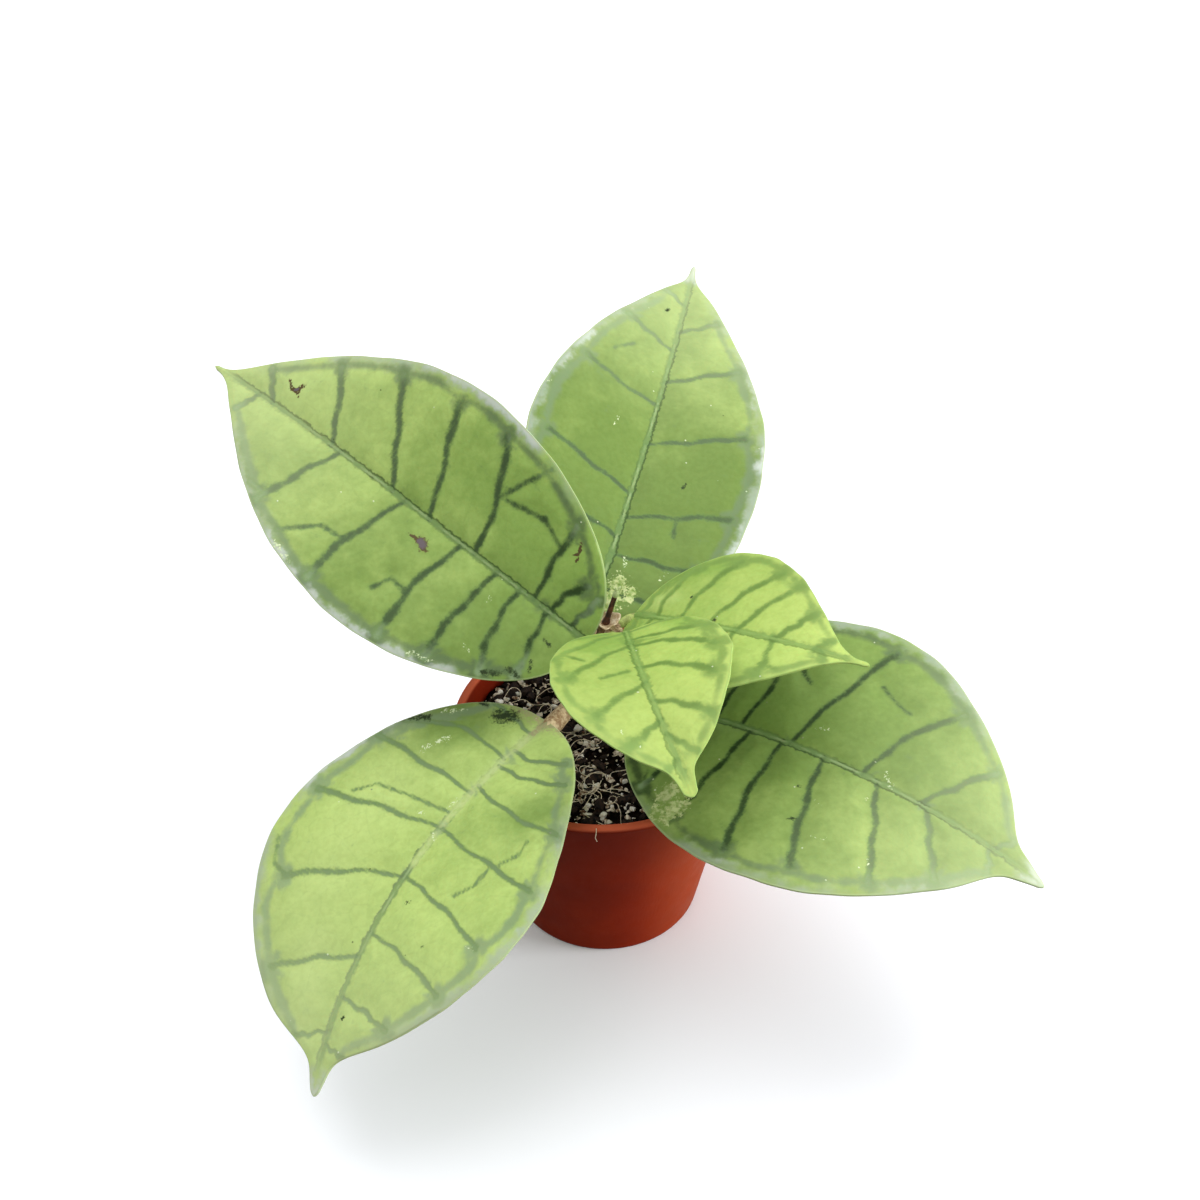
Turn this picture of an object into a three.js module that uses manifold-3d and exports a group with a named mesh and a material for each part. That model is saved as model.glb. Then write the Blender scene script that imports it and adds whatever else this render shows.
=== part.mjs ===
// A potted hoya callistophylla: six leaves on a short woody stem, in a small plastic nursery pot.
// Millimetres, +Z up. The origin is the middle of the pot's flat underside. +X is right and +Y is away
// as the plant is usually looked at.

import * as THREE from 'three';
import { mergeVertices } from 'three/addons/utils/BufferGeometryUtils.js';
import Module from 'manifold-3d';

// Driving dimensions

const CLEARANCE = 0.3; // between two pieces that touch

const POT = {
  height: 47, rimRadius: 30, lipHeight: 1.3, lipInnerRadius: 28.3, underLipRadius: 28.6, baseRadius: 20,
  wall: 0.9, floor: 1.4, edgeRound: 1.5, chamfer: 0.45, insideStep: 1, sides: 48,
};
const DRAIN = { count: 6, radius: 2, circleRadius: 13, sides: 12 };

const SOIL = {
  level: 42.6, mound: 1.4, moundReach: 11, unevenness: 0.35, footRound: 1.4, rings: 7, sides: 30,
};
const GRAINS = {
  count: 60, smallest: 0.7, largest: 1.5, flattest: 0.6, clearOfStem: 2.5, clearOfWall: 3, seed: 11,
};

// The stem leans a little. Each pair of leaves leaves it at a swollen node, from a cushion for each petiole.
const STEM = {
  foot: [-0.4, -0.6, 27], top: [0.9, 1.5, 70.3], footRadius: 2.1, soilRadius: 2.3, topRadius: 1.5, sides: 10,
  holeDepthBelowFoot: 1, holeSides: 16,
};
const NODES = {
  lower: { height: 56, radius: 3.1, halfLength: 1.2, stemBelow: 2.3 },
  middle: { height: 61, radius: 2.1, halfLength: 0.9, stemBelow: 1.85 },
  upper: { height: 68, radius: 1.9, halfLength: 0.7, stemBelow: 1.35 },
};
const NODE_SHOULDER = 1.4; // the length over which a node swells
const CUSHION = { length: 3.4, flare: 1.1, leastClimb: -0.2, mostClimb: 0.45 };
const TIP = {
  lean: [2.4, 0.2, 8.2], footRadius: 0.88, rodRadius: 0.7, neckRadius: 0.56, budRadius: 0.95,
  budEndRadius: 0.42, budLength: 2.4, sides: 8,
};

// Blades. Heading is measured from +X towards +Y, rise is upwards and roll lifts the left edge. Arch bends
// the tip down, bend turns it to its right and twist lifts the left edge further, all by their full angle
// at the tip. Fold lifts both halves off the midrib, and curl adds to it towards the edge. Shoulder, belly
// and taper shape the outline: shoulder fills the base, belly moves the widest place out and taper slims
// the tip. Cushion is the heading in which the petiole leaves its node.
const LEAVES = [
  {
    name: 'leaf_left', grown: true, node: 'middle', cushion: 224, veins: 10,
    base: [-2.5, -2, 68.5], heading: 149, rise: 25, roll: -49, arch: 27, bend: -3, twist: 24,
    length: 104, width: 53, fold: 14, curl: 4, shoulder: 0.41, belly: 2.6, taper: 1.63,
  },
  {
    name: 'leaf_back', grown: true, node: 'middle', cushion: 105, veins: 9,
    base: [-2, 8.5, 67], heading: 72, rise: 20, roll: 23, arch: 11, bend: -3, twist: -4,
    length: 102.5, width: 51, fold: 10, curl: 3, shoulder: 0.29, belly: 2.8, taper: 1.6,
  },
  {
    name: 'leaf_lower_left', grown: true, node: 'lower', cushion: 216, veins: 9,
    base: [-10.5, -8.5, 54], heading: 223, rise: -11, roll: 3, arch: 33, bend: -25, twist: 5,
    length: 82, width: 61, fold: 9, curl: -4, shoulder: 0.46, belly: 3.5, taper: 1.53,
  },
  {
    name: 'leaf_right', grown: true, node: 'lower', cushion: -14, veins: 9,
    base: [9, -1.5, 52.5], heading: -36, rise: 14, roll: 11, arch: 38, bend: 3, twist: -5,
    length: 84, width: 63, fold: 5, curl: 0, shoulder: 0.42, belly: 2.8, taper: 1.51,
  },
  {
    name: 'leaf_young_front', grown: false, node: 'upper', cushion: -66, veins: 7,
    base: [4.5, -6, 74], heading: -85, rise: 24, roll: 8, arch: 51, bend: -9, twist: 4,
    length: 48.5, width: 32.5, fold: 13, curl: 0, shoulder: 0.44, belly: 2.9, taper: 1.74,
  },
  {
    name: 'leaf_young_right', grown: false, node: 'upper', cushion: 38, veins: 7,
    base: [6.5, 6, 68.5], heading: -40, rise: 20, roll: 14, arch: 13, bend: 0, twist: -5,
    length: 53, width: 38, fold: 5, curl: 0, shoulder: 0.45, belly: 2.7, taper: 2.33,
  },
];
const GROWN = { thickness: 1, petioleRadius: 1.7, ribRadius: 1.45, ribTipRadius: 0.5, quilting: 0.5 };
const YOUNG = { thickness: 0.8, petioleRadius: 1, ribRadius: 0.85, ribTipRadius: 0.4, quilting: 0.3 };
const BLADE = {
  start: 0.006, stop: 0.985, // shares of the length, where the blade still has some width
  columns: [-1, -0.72, -0.4, -0.12, 0, 0.12, 0.4, 0.72, 1],
  veinLead: 0.12, // how far a side vein runs forward on its way out, in blade lengths
  lateBend: 1.3, // over 1, so that a blade bends more towards its tip
  steps: 60,
};
const RIB = { start: 0.02, stop: 0.96, slimming: 0.6, sunk: 0.45, steps: 14, sides: 8 };
const PETIOLE = { straight: 0.4, pull: 0.45, steps: 6 };

const FINISH = {
  pot: { color: 0x9c4a30, roughness: 0.5 },
  soil: { color: 0x241a14, roughness: 0.95 },
  stem: { color: 0xa98a68, roughness: 0.8 },
  growing_tip: { color: 0x4a1f14, roughness: 0.5 },
  grown: { color: 0x86a64c, roughness: 0.45 },
  young: { color: 0xb2d468, roughness: 0.45 },
};

const wasm = await Module();
wasm.setup();

// Helpers

const radians = THREE.MathUtils.degToRad;
const mix = THREE.MathUtils.lerp;
const toX = () => new THREE.Vector3(1, 0, 0);
const toZ = () => new THREE.Vector3(0, 0, 1);

function seededRandom(seed) {
  let state = seed;
  return () => {
    state = (state * 16807) % 2147483647;
    return state / 2147483647;
  };
}

function onCircle(radius, place, places) {
  const angle = (place / places) * 2 * Math.PI;
  return [radius * Math.cos(angle), radius * Math.sin(angle)];
}

function asSolid(geometry) {
  const bare = geometry.clone();
  bare.deleteAttribute('normal');
  bare.deleteAttribute('uv');
  const merged = mergeVertices(bare, 1e-4);
  return new wasm.Manifold(new wasm.Mesh({
    numProp: 3,
    vertProperties: new Float32Array(merged.attributes.position.array),
    triVerts: new Uint32Array(merged.index.array),
  }));
}

function asGeometry(solid) {
  const mesh = solid.getMesh();
  const geometry = new THREE.BufferGeometry();
  geometry.setAttribute('position', new THREE.BufferAttribute(new Float32Array(mesh.vertProperties), 3));
  geometry.setIndex(new THREE.BufferAttribute(new Uint32Array(mesh.triVerts), 1));
  geometry.computeVertexNormals();
  return geometry;
}

function indexedGeometry(points, triangles) {
  const numbers = points.flatMap((point) => point.toArray());
  const geometry = new THREE.BufferGeometry();
  geometry.setAttribute('position', new THREE.Float32BufferAttribute(numbers, 3));
  geometry.setIndex(triangles);
  return geometry;
}

// A solid of revolution about Z, from a profile of [radius, height] pairs that starts and ends on the axis,
// at the bottom first.
function turnedGeometry(profile, sides) {
  const points = profile.map(([radius, height]) => new THREE.Vector2(radius, height));
  return new THREE.LatheGeometry(points, sides).rotateX(Math.PI / 2);
}

// A round bar through the stops, each a point and a radius. Side gives a direction at each stop that is
// never along the bar, which keeps the rings from twisting.
function taperedBar(stops, sides, side) {
  const points = [];
  const triangles = [];
  stops.forEach(({ point, radius }, i) => {
    const next = stops[Math.min(i + 1, stops.length - 1)].point;
    const previous = stops[Math.max(i - 1, 0)].point;
    const along = next.clone().sub(previous).normalize();
    const across = side(i).clone().addScaledVector(along, -side(i).dot(along)).normalize();
    const up = along.clone().cross(across);
    for (let k = 0; k < sides; k += 1) {
      const [a, b] = onCircle(radius, k, sides);
      points.push(point.clone().addScaledVector(across, a).addScaledVector(up, b));
    }
  });
  for (let i = 0; i + 1 < stops.length; i += 1) {
    for (let k = 0; k < sides; k += 1) {
      const a = i * sides + k;
      const b = i * sides + ((k + 1) % sides);
      triangles.push(a, b, b + sides, a, b + sides, a + sides);
    }
  }
  const last = (stops.length - 1) * sides;
  for (let k = 1; k + 1 < sides; k += 1) {
    triangles.push(0, k + 1, k, last, last + k, last + k + 1);
  }
  return indexedGeometry(points, triangles);
}

// Pot

const insideTop = POT.height - POT.lipHeight - POT.insideStep;
const insideFoot = POT.floor + POT.insideStep;

// The radius of the pot's inner wall at a height
function insideRadius(height) {
  const share = (height - insideFoot) / (insideTop - insideFoot);
  return mix(POT.baseRadius, POT.underLipRadius, share) - POT.wall;
}

function potGeometry() {
  const { height, rimRadius, lipInnerRadius, underLipRadius, baseRadius, edgeRound, chamfer } = POT;
  const underLip = height - POT.lipHeight;
  let solid = asSolid(turnedGeometry([
    [0, 0],
    [baseRadius - edgeRound, 0],
    [baseRadius - chamfer, chamfer],
    [baseRadius, edgeRound],
    [underLipRadius, underLip],
    [rimRadius, underLip],
    [rimRadius, height - chamfer],
    [rimRadius - chamfer, height],
    [lipInnerRadius + chamfer / 2, height],
    [lipInnerRadius, height - chamfer],
    [insideRadius(insideTop), insideTop],
    [insideRadius(insideFoot), insideFoot],
    [insideRadius(insideFoot) - POT.insideStep, POT.floor],
    [0, POT.floor],
  ], POT.sides));
  for (let i = 0; i < DRAIN.count; i += 1) {
    const [x, y] = onCircle(DRAIN.circleRadius, i, DRAIN.count);
    const hole = new THREE.CylinderGeometry(DRAIN.radius, DRAIN.radius, 3 * POT.floor, DRAIN.sides)
      .rotateX(Math.PI / 2)
      .translate(x, y, POT.floor / 2);
    solid = solid.subtract(asSolid(hole));
  }
  return asGeometry(solid);
}

// Stem, with its nodes and cushions

function stemAxis(height) {
  const foot = new THREE.Vector3(...STEM.foot);
  const top = new THREE.Vector3(...STEM.top);
  return foot.lerp(top, (height - STEM.foot[2]) / (STEM.top[2] - STEM.foot[2]));
}

function cushionDirection(leaf) {
  const heading = radians(leaf.cushion);
  const from = stemAxis(NODES[leaf.node].height);
  const [x, y, z] = leaf.base;
  const climb = (z - from.z) / Math.hypot(x - from.x, y - from.y);
  const allowed = THREE.MathUtils.clamp(climb, CUSHION.leastClimb, CUSHION.mostClimb);
  return new THREE.Vector3(Math.cos(heading), Math.sin(heading), allowed).normalize();
}

function stemGeometry() {
  const profile = [[STEM.foot[2], STEM.footRadius], [SOIL.level + SOIL.mound, STEM.soilRadius]];
  Object.values(NODES).forEach(({ height, radius, halfLength, stemBelow }) => {
    profile.push(
      [height - halfLength - NODE_SHOULDER, stemBelow],
      [height - halfLength, radius],
      [height + halfLength, radius],
    );
  });
  profile.push([STEM.top[2], STEM.topRadius]);
  const stops = profile.map(([height, radius]) => ({ point: stemAxis(height), radius }));
  let solid = asSolid(taperedBar(stops, STEM.sides, toX));
  LEAVES.forEach((leaf) => {
    const { petioleRadius } = leaf.grown ? GROWN : YOUNG;
    const from = stemAxis(NODES[leaf.node].height);
    const to = from.clone().addScaledVector(cushionDirection(leaf), CUSHION.length);
    const cushion = [
      { point: from, radius: petioleRadius * CUSHION.flare },
      { point: to, radius: petioleRadius },
    ];
    solid = solid.add(asSolid(taperedBar(cushion, RIB.sides, toZ)));
  });
  return asGeometry(solid);
}

function growingTipGeometry() {
  const lean = new THREE.Vector3(...TIP.lean);
  const tilted = (TIP.footRadius * lean.x) / lean.length();
  const foot = new THREE.Vector3(...STEM.top).add(new THREE.Vector3(0, 0, CLEARANCE + tilted));
  const bud = 1 - TIP.budLength / lean.length();
  const profile = [
    [0, TIP.footRadius], [0.12, TIP.rodRadius], [bud, TIP.neckRadius],
    [mix(bud, 1, 0.2), TIP.budRadius], [mix(bud, 1, 0.8), TIP.budRadius], [1, TIP.budEndRadius],
  ];
  const stops = profile.map(([share, radius]) => (
    { point: foot.clone().addScaledVector(lean, share), radius }
  ));
  return taperedBar(stops, TIP.sides, toX);
}

// Soil, with its larger grains, round a plain hole for the stem

function soilHeight(x, y) {
  const away = Math.hypot(x, y);
  const rise = SOIL.mound * Math.exp(-((away / SOIL.moundReach) ** 2));
  const rolls = Math.sin(0.45 * x + 1.1) * Math.cos(0.38 * y - 0.4) + 0.6 * Math.sin(0.9 * y + 0.5 * x);
  return SOIL.level + rise + SOIL.unevenness * rolls;
}

function soilBody(edge) {
  const { rings, sides, footRound } = SOIL;
  const bottom = POT.floor + CLEARANCE;
  const footHeight = bottom + footRound;
  const footRadius = insideRadius(footHeight) - CLEARANCE;
  const points = [new THREE.Vector3(0, 0, soilHeight(0, 0))];
  const addRing = (radius, height) => {
    for (let k = 0; k < sides; k += 1) {
      const [x, y] = onCircle(radius, k, sides);
      points.push(new THREE.Vector3(x, y, height(x, y)));
    }
  };
  for (let i = 1; i <= rings; i += 1) {
    addRing((edge * i) / rings, soilHeight);
  }
  addRing(footRadius, () => footHeight);
  addRing(footRadius - footRound, () => bottom);
  points.push(new THREE.Vector3(0, 0, bottom));

  const triangles = [];
  const allRings = rings + 2;
  const last = 1 + (allRings - 1) * sides;
  for (let k = 0; k < sides; k += 1) {
    const next = (k + 1) % sides;
    triangles.push(0, 1 + k, 1 + next);
    for (let i = 0; i + 1 < allRings; i += 1) {
      const a = 1 + i * sides;
      const b = a + sides;
      triangles.push(a + k, b + k, b + next, a + k, b + next, a + next);
    }
    triangles.push(last + k, points.length - 1, last + next);
  }
  return asSolid(indexedGeometry(points, triangles));
}

function soilGrains(edge) {
  const random = seededRandom(GRAINS.seed);
  const nearest = STEM.soilRadius + GRAINS.clearOfStem;
  const furthest = edge - GRAINS.clearOfWall;
  const flatness = () => mix(GRAINS.flattest, 1, random());
  return Array.from({ length: GRAINS.count }, () => {
    const size = mix(GRAINS.smallest, GRAINS.largest, random() ** 2);
    const away = mix(nearest, furthest, Math.sqrt(random()));
    const [x, y] = onCircle(away, random(), 1);
    return asSolid(new THREE.IcosahedronGeometry(size, 0)
      .scale(1, flatness(), flatness())
      .rotateZ(Math.PI * random())
      .translate(x, y, soilHeight(x, y)));
  });
}

function soilGeometry() {
  const edge = insideRadius(SOIL.level) - 2 * CLEARANCE;
  const solid = soilGrains(edge).reduce((body, grain) => body.add(grain), soilBody(edge));
  const radius = STEM.soilRadius + CLEARANCE;
  const hole = [STEM.foot[2] - STEM.holeDepthBelowFoot, SOIL.level + 3 * SOIL.mound]
    .map((height) => ({ point: stemAxis(height), radius }));
  return asGeometry(solid.subtract(asSolid(taperedBar(hole, STEM.holeSides, toX))));
}

// Leaves

// The midrib's point and its forward, right and up directions, at each share of the blade's length
function midribFrames(leaf, shares) {
  const [heading, rise, roll] = [leaf.heading, leaf.rise, leaf.roll].map(radians);
  const ahead = new THREE.Vector3(Math.cos(heading), Math.sin(heading), 0);
  const forward = ahead.clone().multiplyScalar(Math.cos(rise)).setZ(Math.sin(rise));
  const upright = ahead.clone().multiplyScalar(-Math.sin(rise)).setZ(Math.cos(rise));
  const right = forward.clone().cross(upright).applyAxisAngle(forward, roll);
  const up = upright.applyAxisAngle(forward, roll);
  const bending = new THREE.Vector3()
    .addScaledVector(forward, radians(leaf.twist))
    .addScaledVector(right, -radians(leaf.arch))
    .addScaledVector(up, -radians(leaf.bend));
  const axis = bending.clone().normalize();
  const bent = (direction, share) => (
    direction.clone().applyAxisAngle(axis, bending.length() * share ** BLADE.lateBend)
  );

  const walk = [new THREE.Vector3(...leaf.base)];
  for (let i = 0; i < BLADE.steps; i += 1) {
    const step = bent(forward, (i + 0.5) / BLADE.steps);
    walk.push(walk[i].clone().addScaledVector(step, leaf.length / BLADE.steps));
  }
  return shares.map((share) => {
    const place = share * BLADE.steps;
    const i = Math.min(Math.floor(place), BLADE.steps - 1);
    return {
      point: walk[i].clone().lerp(walk[i + 1], place - i),
      forward: bent(forward, share),
      right: bent(right, share),
      up: bent(up, share),
    };
  });
}

function halfWidth(leaf, share) {
  const { shoulder, belly, taper } = leaf;
  const shape = (t) => t ** shoulder * (1 - t ** belly) ** taper;
  const widest = (shoulder / (shoulder + belly * taper)) ** (1 / belly);
  return (leaf.width / 2) * (shape(share) / shape(widest));
}

// The blade's rows follow its side veins: every second row lies on a vein, and the ones between are raised.
// Both faces are split into the same triangles.
function bladeGeometry(leaf) {
  const { thickness, quilting } = leaf.grown ? GROWN : YOUNG;
  const rows = 2 * leaf.veins;
  const columns = BLADE.columns.length;
  const top = [];
  const underside = [];
  for (let i = 0; i <= rows; i += 1) {
    const along = i / rows;
    const between = i % 2;
    BLADE.columns.forEach((v) => {
      const lead = BLADE.veinLead * Math.abs(v) * 4 * along * (1 - along);
      const share = mix(BLADE.start, BLADE.stop, along + lead);
      const [{ point, right, up }] = midribFrames(leaf, [share]);
      const reach = Math.abs(v) * halfWidth(leaf, share);
      const slope = radians(leaf.fold + (leaf.curl * reach) / leaf.width);
      const outwards = right.clone().multiplyScalar(Math.sign(v) * Math.cos(slope))
        .addScaledVector(up, Math.sin(slope));
      const normal = up.clone().multiplyScalar(Math.cos(slope))
        .addScaledVector(right, -Math.sign(v) * Math.sin(slope));
      const puff = between * quilting * Math.sin(Math.PI * Math.abs(v));
      const middle = point.clone().addScaledVector(outwards, reach).addScaledVector(normal, puff);
      top.push(middle.clone().addScaledVector(normal, thickness / 2));
      underside.push(middle.clone().addScaledVector(normal, -thickness / 2));
    });
  }

  const below = top.length;
  const triangles = [];
  const quad = (a, b, c, d) => triangles.push(a, b, c, a, c, d);
  for (let i = 0; i < rows; i += 1) {
    for (let j = 0; j + 1 < columns; j += 1) {
      const a = i * columns + j;
      const [b, c, d] = [a + 1, a + columns + 1, a + columns];
      quad(a, b, c, d);
      triangles.push(below + a, below + c, below + b, below + a, below + d, below + c);
    }
    const left = i * columns;
    const right = left + columns - 1;
    quad(left, left + columns, below + left + columns, below + left);
    quad(right, below + right, below + right + columns, right + columns);
  }
  for (let j = 0; j + 1 < columns; j += 1) {
    const far = rows * columns + j;
    quad(j, below + j, below + j + 1, j + 1);
    quad(far, far + 1, below + far + 1, below + far);
  }
  return indexedGeometry([...top, ...underside], triangles);
}

// One bar is the petiole, from just off its cushion to the blade, and then the rib under the blade.
function petioleAndRib(leaf) {
  const { thickness, petioleRadius, ribRadius, ribTipRadius } = leaf.grown ? GROWN : YOUNG;
  const shares = Array.from({ length: RIB.steps }, (_, i) => mix(RIB.start, RIB.stop, i / (RIB.steps - 1)));
  const frames = midribFrames(leaf, shares);
  const rib = frames.map(({ point, up }, i) => {
    const radius = mix(ribRadius, ribTipRadius, shares[i] ** RIB.slimming);
    return { point: point.clone().addScaledVector(up, -thickness / 2 - radius * RIB.sunk), radius };
  });

  const away = cushionDirection(leaf);
  const start = stemAxis(NODES[leaf.node].height).addScaledVector(away, CUSHION.length + CLEARANCE);
  const straight = start.clone().addScaledVector(away, petioleRadius * PETIOLE.straight);
  const end = rib[0].point;
  const pull = PETIOLE.pull * start.distanceTo(end);
  const curve = new THREE.CubicBezierCurve3(
    straight,
    straight.clone().addScaledVector(away, pull),
    end.clone().addScaledVector(frames[0].forward, -pull),
    end,
  );
  const petiole = [start, ...curve.getPoints(PETIOLE.steps).slice(0, -1)]
    .map((point) => ({ point, radius: petioleRadius }));
  const side = (i) => frames[Math.max(0, i - petiole.length)].right;
  return taperedBar([...petiole, ...rib], RIB.sides, side);
}

function leafGeometry(leaf) {
  return asGeometry(asSolid(bladeGeometry(leaf)).add(asSolid(petioleAndRib(leaf))));
}

// The plant

function piece(name, geometry, finish) {
  const mesh = new THREE.Mesh(geometry, new THREE.MeshStandardMaterial({ ...finish, metalness: 0 }));
  mesh.name = name;
  return mesh;
}

const plant = new THREE.Group();
plant.add(piece('pot', potGeometry(), FINISH.pot));
plant.add(piece('soil', soilGeometry(), FINISH.soil));
plant.add(piece('stem', stemGeometry(), FINISH.stem));
plant.add(piece('growing_tip', growingTipGeometry(), FINISH.growing_tip));
LEAVES.forEach((leaf) => {
  plant.add(piece(leaf.name, leafGeometry(leaf), leaf.grown ? FINISH.grown : FINISH.young));
});

export default plant;
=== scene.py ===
# %% [markdown]
# # A potted hoya callistophylla
#
# This lesson dresses a small climbing plant: six waxy leaves with a dark net of veins, on a short woody stem,
# in a little terracotta-coloured nursery pot. The solids of the plant come in as a fixed frame, in metres,
# with +Z up and the origin under the middle of the pot. Each piece made here stands where its solid stands.
#
# Plants are small, so most sizes below are in millimetres and are turned into metres by one constant.

import math
import random
from types import SimpleNamespace

import bpy
import numpy as np
from mathutils import Matrix, Vector


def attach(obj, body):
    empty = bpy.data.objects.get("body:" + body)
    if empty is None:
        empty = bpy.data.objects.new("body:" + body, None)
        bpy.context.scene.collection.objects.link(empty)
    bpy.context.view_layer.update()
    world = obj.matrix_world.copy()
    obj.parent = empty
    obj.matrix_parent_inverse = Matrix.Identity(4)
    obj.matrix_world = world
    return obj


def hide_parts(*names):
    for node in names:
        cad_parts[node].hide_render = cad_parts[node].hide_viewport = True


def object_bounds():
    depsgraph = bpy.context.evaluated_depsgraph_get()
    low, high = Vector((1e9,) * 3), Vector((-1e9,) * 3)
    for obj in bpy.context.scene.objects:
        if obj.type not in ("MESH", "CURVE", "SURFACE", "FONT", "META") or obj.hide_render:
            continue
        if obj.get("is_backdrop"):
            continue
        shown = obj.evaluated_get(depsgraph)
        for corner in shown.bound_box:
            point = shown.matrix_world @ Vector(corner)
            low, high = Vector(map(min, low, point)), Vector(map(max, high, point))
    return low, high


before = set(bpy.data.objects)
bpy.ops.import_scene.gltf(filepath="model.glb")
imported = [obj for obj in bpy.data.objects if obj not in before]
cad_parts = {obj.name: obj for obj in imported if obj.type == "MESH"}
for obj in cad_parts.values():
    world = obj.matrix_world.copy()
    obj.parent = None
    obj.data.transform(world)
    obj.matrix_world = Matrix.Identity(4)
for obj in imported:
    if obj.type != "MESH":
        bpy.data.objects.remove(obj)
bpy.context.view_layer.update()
MM = 0.001

# %% [markdown]
# ## The camera
#
# The plant is seen from in front and 38 degrees above, from about 33 cm away. A camera looks along its own
# -Z axis, so its matrix is built from three directions: to its right, up, and backwards. A roll of one degree
# was in the hand that took the picture.

# %% The camera
CAMERA_PLACE = Vector((-0.18, -221.8, 250.3)) * MM
CAMERA_TILT = math.radians(38)
CAMERA_ROLL = math.radians(-1)
CAMERA_LENS = 45.3


def add_camera():
    """Adds the camera at its place, looking forwards and down, and makes it the scene's camera."""
    bpy.ops.object.camera_add()
    camera = bpy.context.object
    back = Vector((0, -math.cos(CAMERA_TILT), math.sin(CAMERA_TILT)))
    level_up = Vector((0, math.sin(CAMERA_TILT), math.cos(CAMERA_TILT)))
    right = Vector((1, 0, 0)) * math.cos(CAMERA_ROLL) + level_up * math.sin(CAMERA_ROLL)
    up = back.cross(right)
    turn = Matrix((right, up, back)).transposed().to_4x4()
    camera.matrix_world = Matrix.Translation(CAMERA_PLACE) @ turn
    camera.data.lens = CAMERA_LENS
    camera.data.clip_start = 0.01
    bpy.context.scene.camera = camera
    return camera


camera = add_camera()
print("the camera stands", round(camera.location.length / MM), "mm from the pot's foot")

# %% [markdown]
# ## Small helpers for nodes
#
# Every finish is built from shader nodes. Adding, setting and linking them one by one makes long code, so
# these helpers do it in one call: a socket that is given as an input is linked, and a value is typed in.

# %% Helpers for shader nodes


def colour(red, green, blue):
    """A screen colour, each part from 0 to 255, as the linear colour that shaders use."""
    parts = [part / 255 for part in (red, green, blue)]
    linear = [part / 12.92 if part <= 0.04045 else ((part + 0.055) / 1.055) ** 2.4 for part in parts]
    return (*linear, 1.0)


def set_input(tree, socket, value):
    """Links a socket into this one, or types a value into it."""
    if isinstance(value, bpy.types.NodeSocket):
        tree.links.new(value, socket)
    elif value is not None:
        socket.default_value = value


def put(tree, kind, *inputs, **settings):
    """Adds a node, with its properties set and its inputs filled in order."""
    node = tree.nodes.new(kind)
    for name, value in settings.items():
        setattr(node, name, value)
    for socket, value in zip(node.inputs, inputs):
        set_input(tree, socket, value)
    return node


def maths(tree, operation, first, second=None):
    return put(tree, "ShaderNodeMath", first, second, operation=operation).outputs[0]


def chain(tree, operation, values):
    """Does one operation along a row of values."""
    result = values[0]
    for value in values[1:]:
        result = maths(tree, operation, result, value)
    return result


def total(tree, *values):
    return chain(tree, "ADD", values)


def product(tree, *values):
    return chain(tree, "MULTIPLY", values)


def blend(tree, share, first, second, mode="MIX"):
    """Mixes two colours: all the first at a share of 0 and all the second at 1."""
    node = put(tree, "ShaderNodeMix", data_type="RGBA", blend_type=mode)
    for index, value in ((0, share), (6, first), (7, second)):
        set_input(tree, node.inputs[index], value)
    return node.outputs[2]


def step(tree, value, low, high, bottom=0.0, top=1.0):
    """Goes softly from bottom to top as the value goes from low to high."""
    node = put(tree, "ShaderNodeMapRange", value, low, high, bottom, top, interpolation_type="SMOOTHSTEP")
    return node.outputs[0]


def noise(tree, place, size, detail=2.0, roughness=0.55):
    """Cloudy noise about 0.5, with blotches of about this size in millimetres."""
    node = put(tree, "ShaderNodeTexNoise", None, None, 1 / (size * MM), detail, roughness)
    tree.links.new(place, node.inputs["Vector"])
    return node.outputs[0]


def two_tone(tree, place, size, low, high, first, second, detail=3, roughness=0.55):
    """Two colours in blotches of about this size, which blend where the noise is between low and high."""
    return blend(tree, step(tree, noise(tree, place, size, detail, roughness), low, high), first, second)


def here(tree):
    """The point on the surface, in the piece's own coordinates."""
    return put(tree, "ShaderNodeTexCoord").outputs["Object"]


def painted(tree, name):
    """The value that the mesh itself carries under this name."""
    return put(tree, "ShaderNodeAttribute", attribute_name=name).outputs["Fac"]


# %% Helpers for node groups and materials


def new_group(name, inputs, outputs):
    """Starts a node group with named sockets, and returns its tree, its inputs and its output node."""
    tree = bpy.data.node_groups.new(name, "ShaderNodeTree")
    for socket, kind in inputs:
        tree.interface.new_socket(socket, in_out="INPUT", socket_type=kind)
    for socket, kind in outputs:
        tree.interface.new_socket(socket, in_out="OUTPUT", socket_type=kind)
    entry = tree.nodes.new("NodeGroupInput")
    return tree, entry.outputs, tree.nodes.new("NodeGroupOutput")


def use_group(tree, group, **values):
    """Places a node group and fills its inputs by name, with _ for each space."""
    node = put(tree, "ShaderNodeGroup", node_tree=group)
    for name, value in values.items():
        set_input(tree, node.inputs[name.replace("_", " ")], value)
    return node.outputs


def new_material(name, **constants):
    """A material with its Principled shader, and the constants typed into the shader's own sockets."""
    material = bpy.data.materials.new(name)
    material.use_nodes = True
    tree = material.node_tree
    shader = tree.nodes["Principled BSDF"]
    for socket, value in constants.items():
        shader.inputs[socket.replace("_", " ")].default_value = value
    return material, tree, shader


def finish_shader(tree, shader, base, roughness, height=None, depth=0.1):
    """Links the base colour, the roughness and a bump of this depth in millimetres into the shader."""
    set_input(tree, shader.inputs["Base Color"], base)
    set_input(tree, shader.inputs["Roughness"], roughness)
    if height is not None:
        bump = put(tree, "ShaderNodeBump", 1.0, depth * MM)
        set_input(tree, bump.inputs["Height"], height)
        tree.links.new(bump.outputs["Normal"], shader.inputs["Normal"])


# %% [markdown]
# ## Small helpers for meshes
#
# An operator works on all that is selected, so each step first says what that is. A finished piece keeps its
# place in its mesh, with its object at the origin, and rides on the plant's one body.

# %% Helpers for meshes


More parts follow.
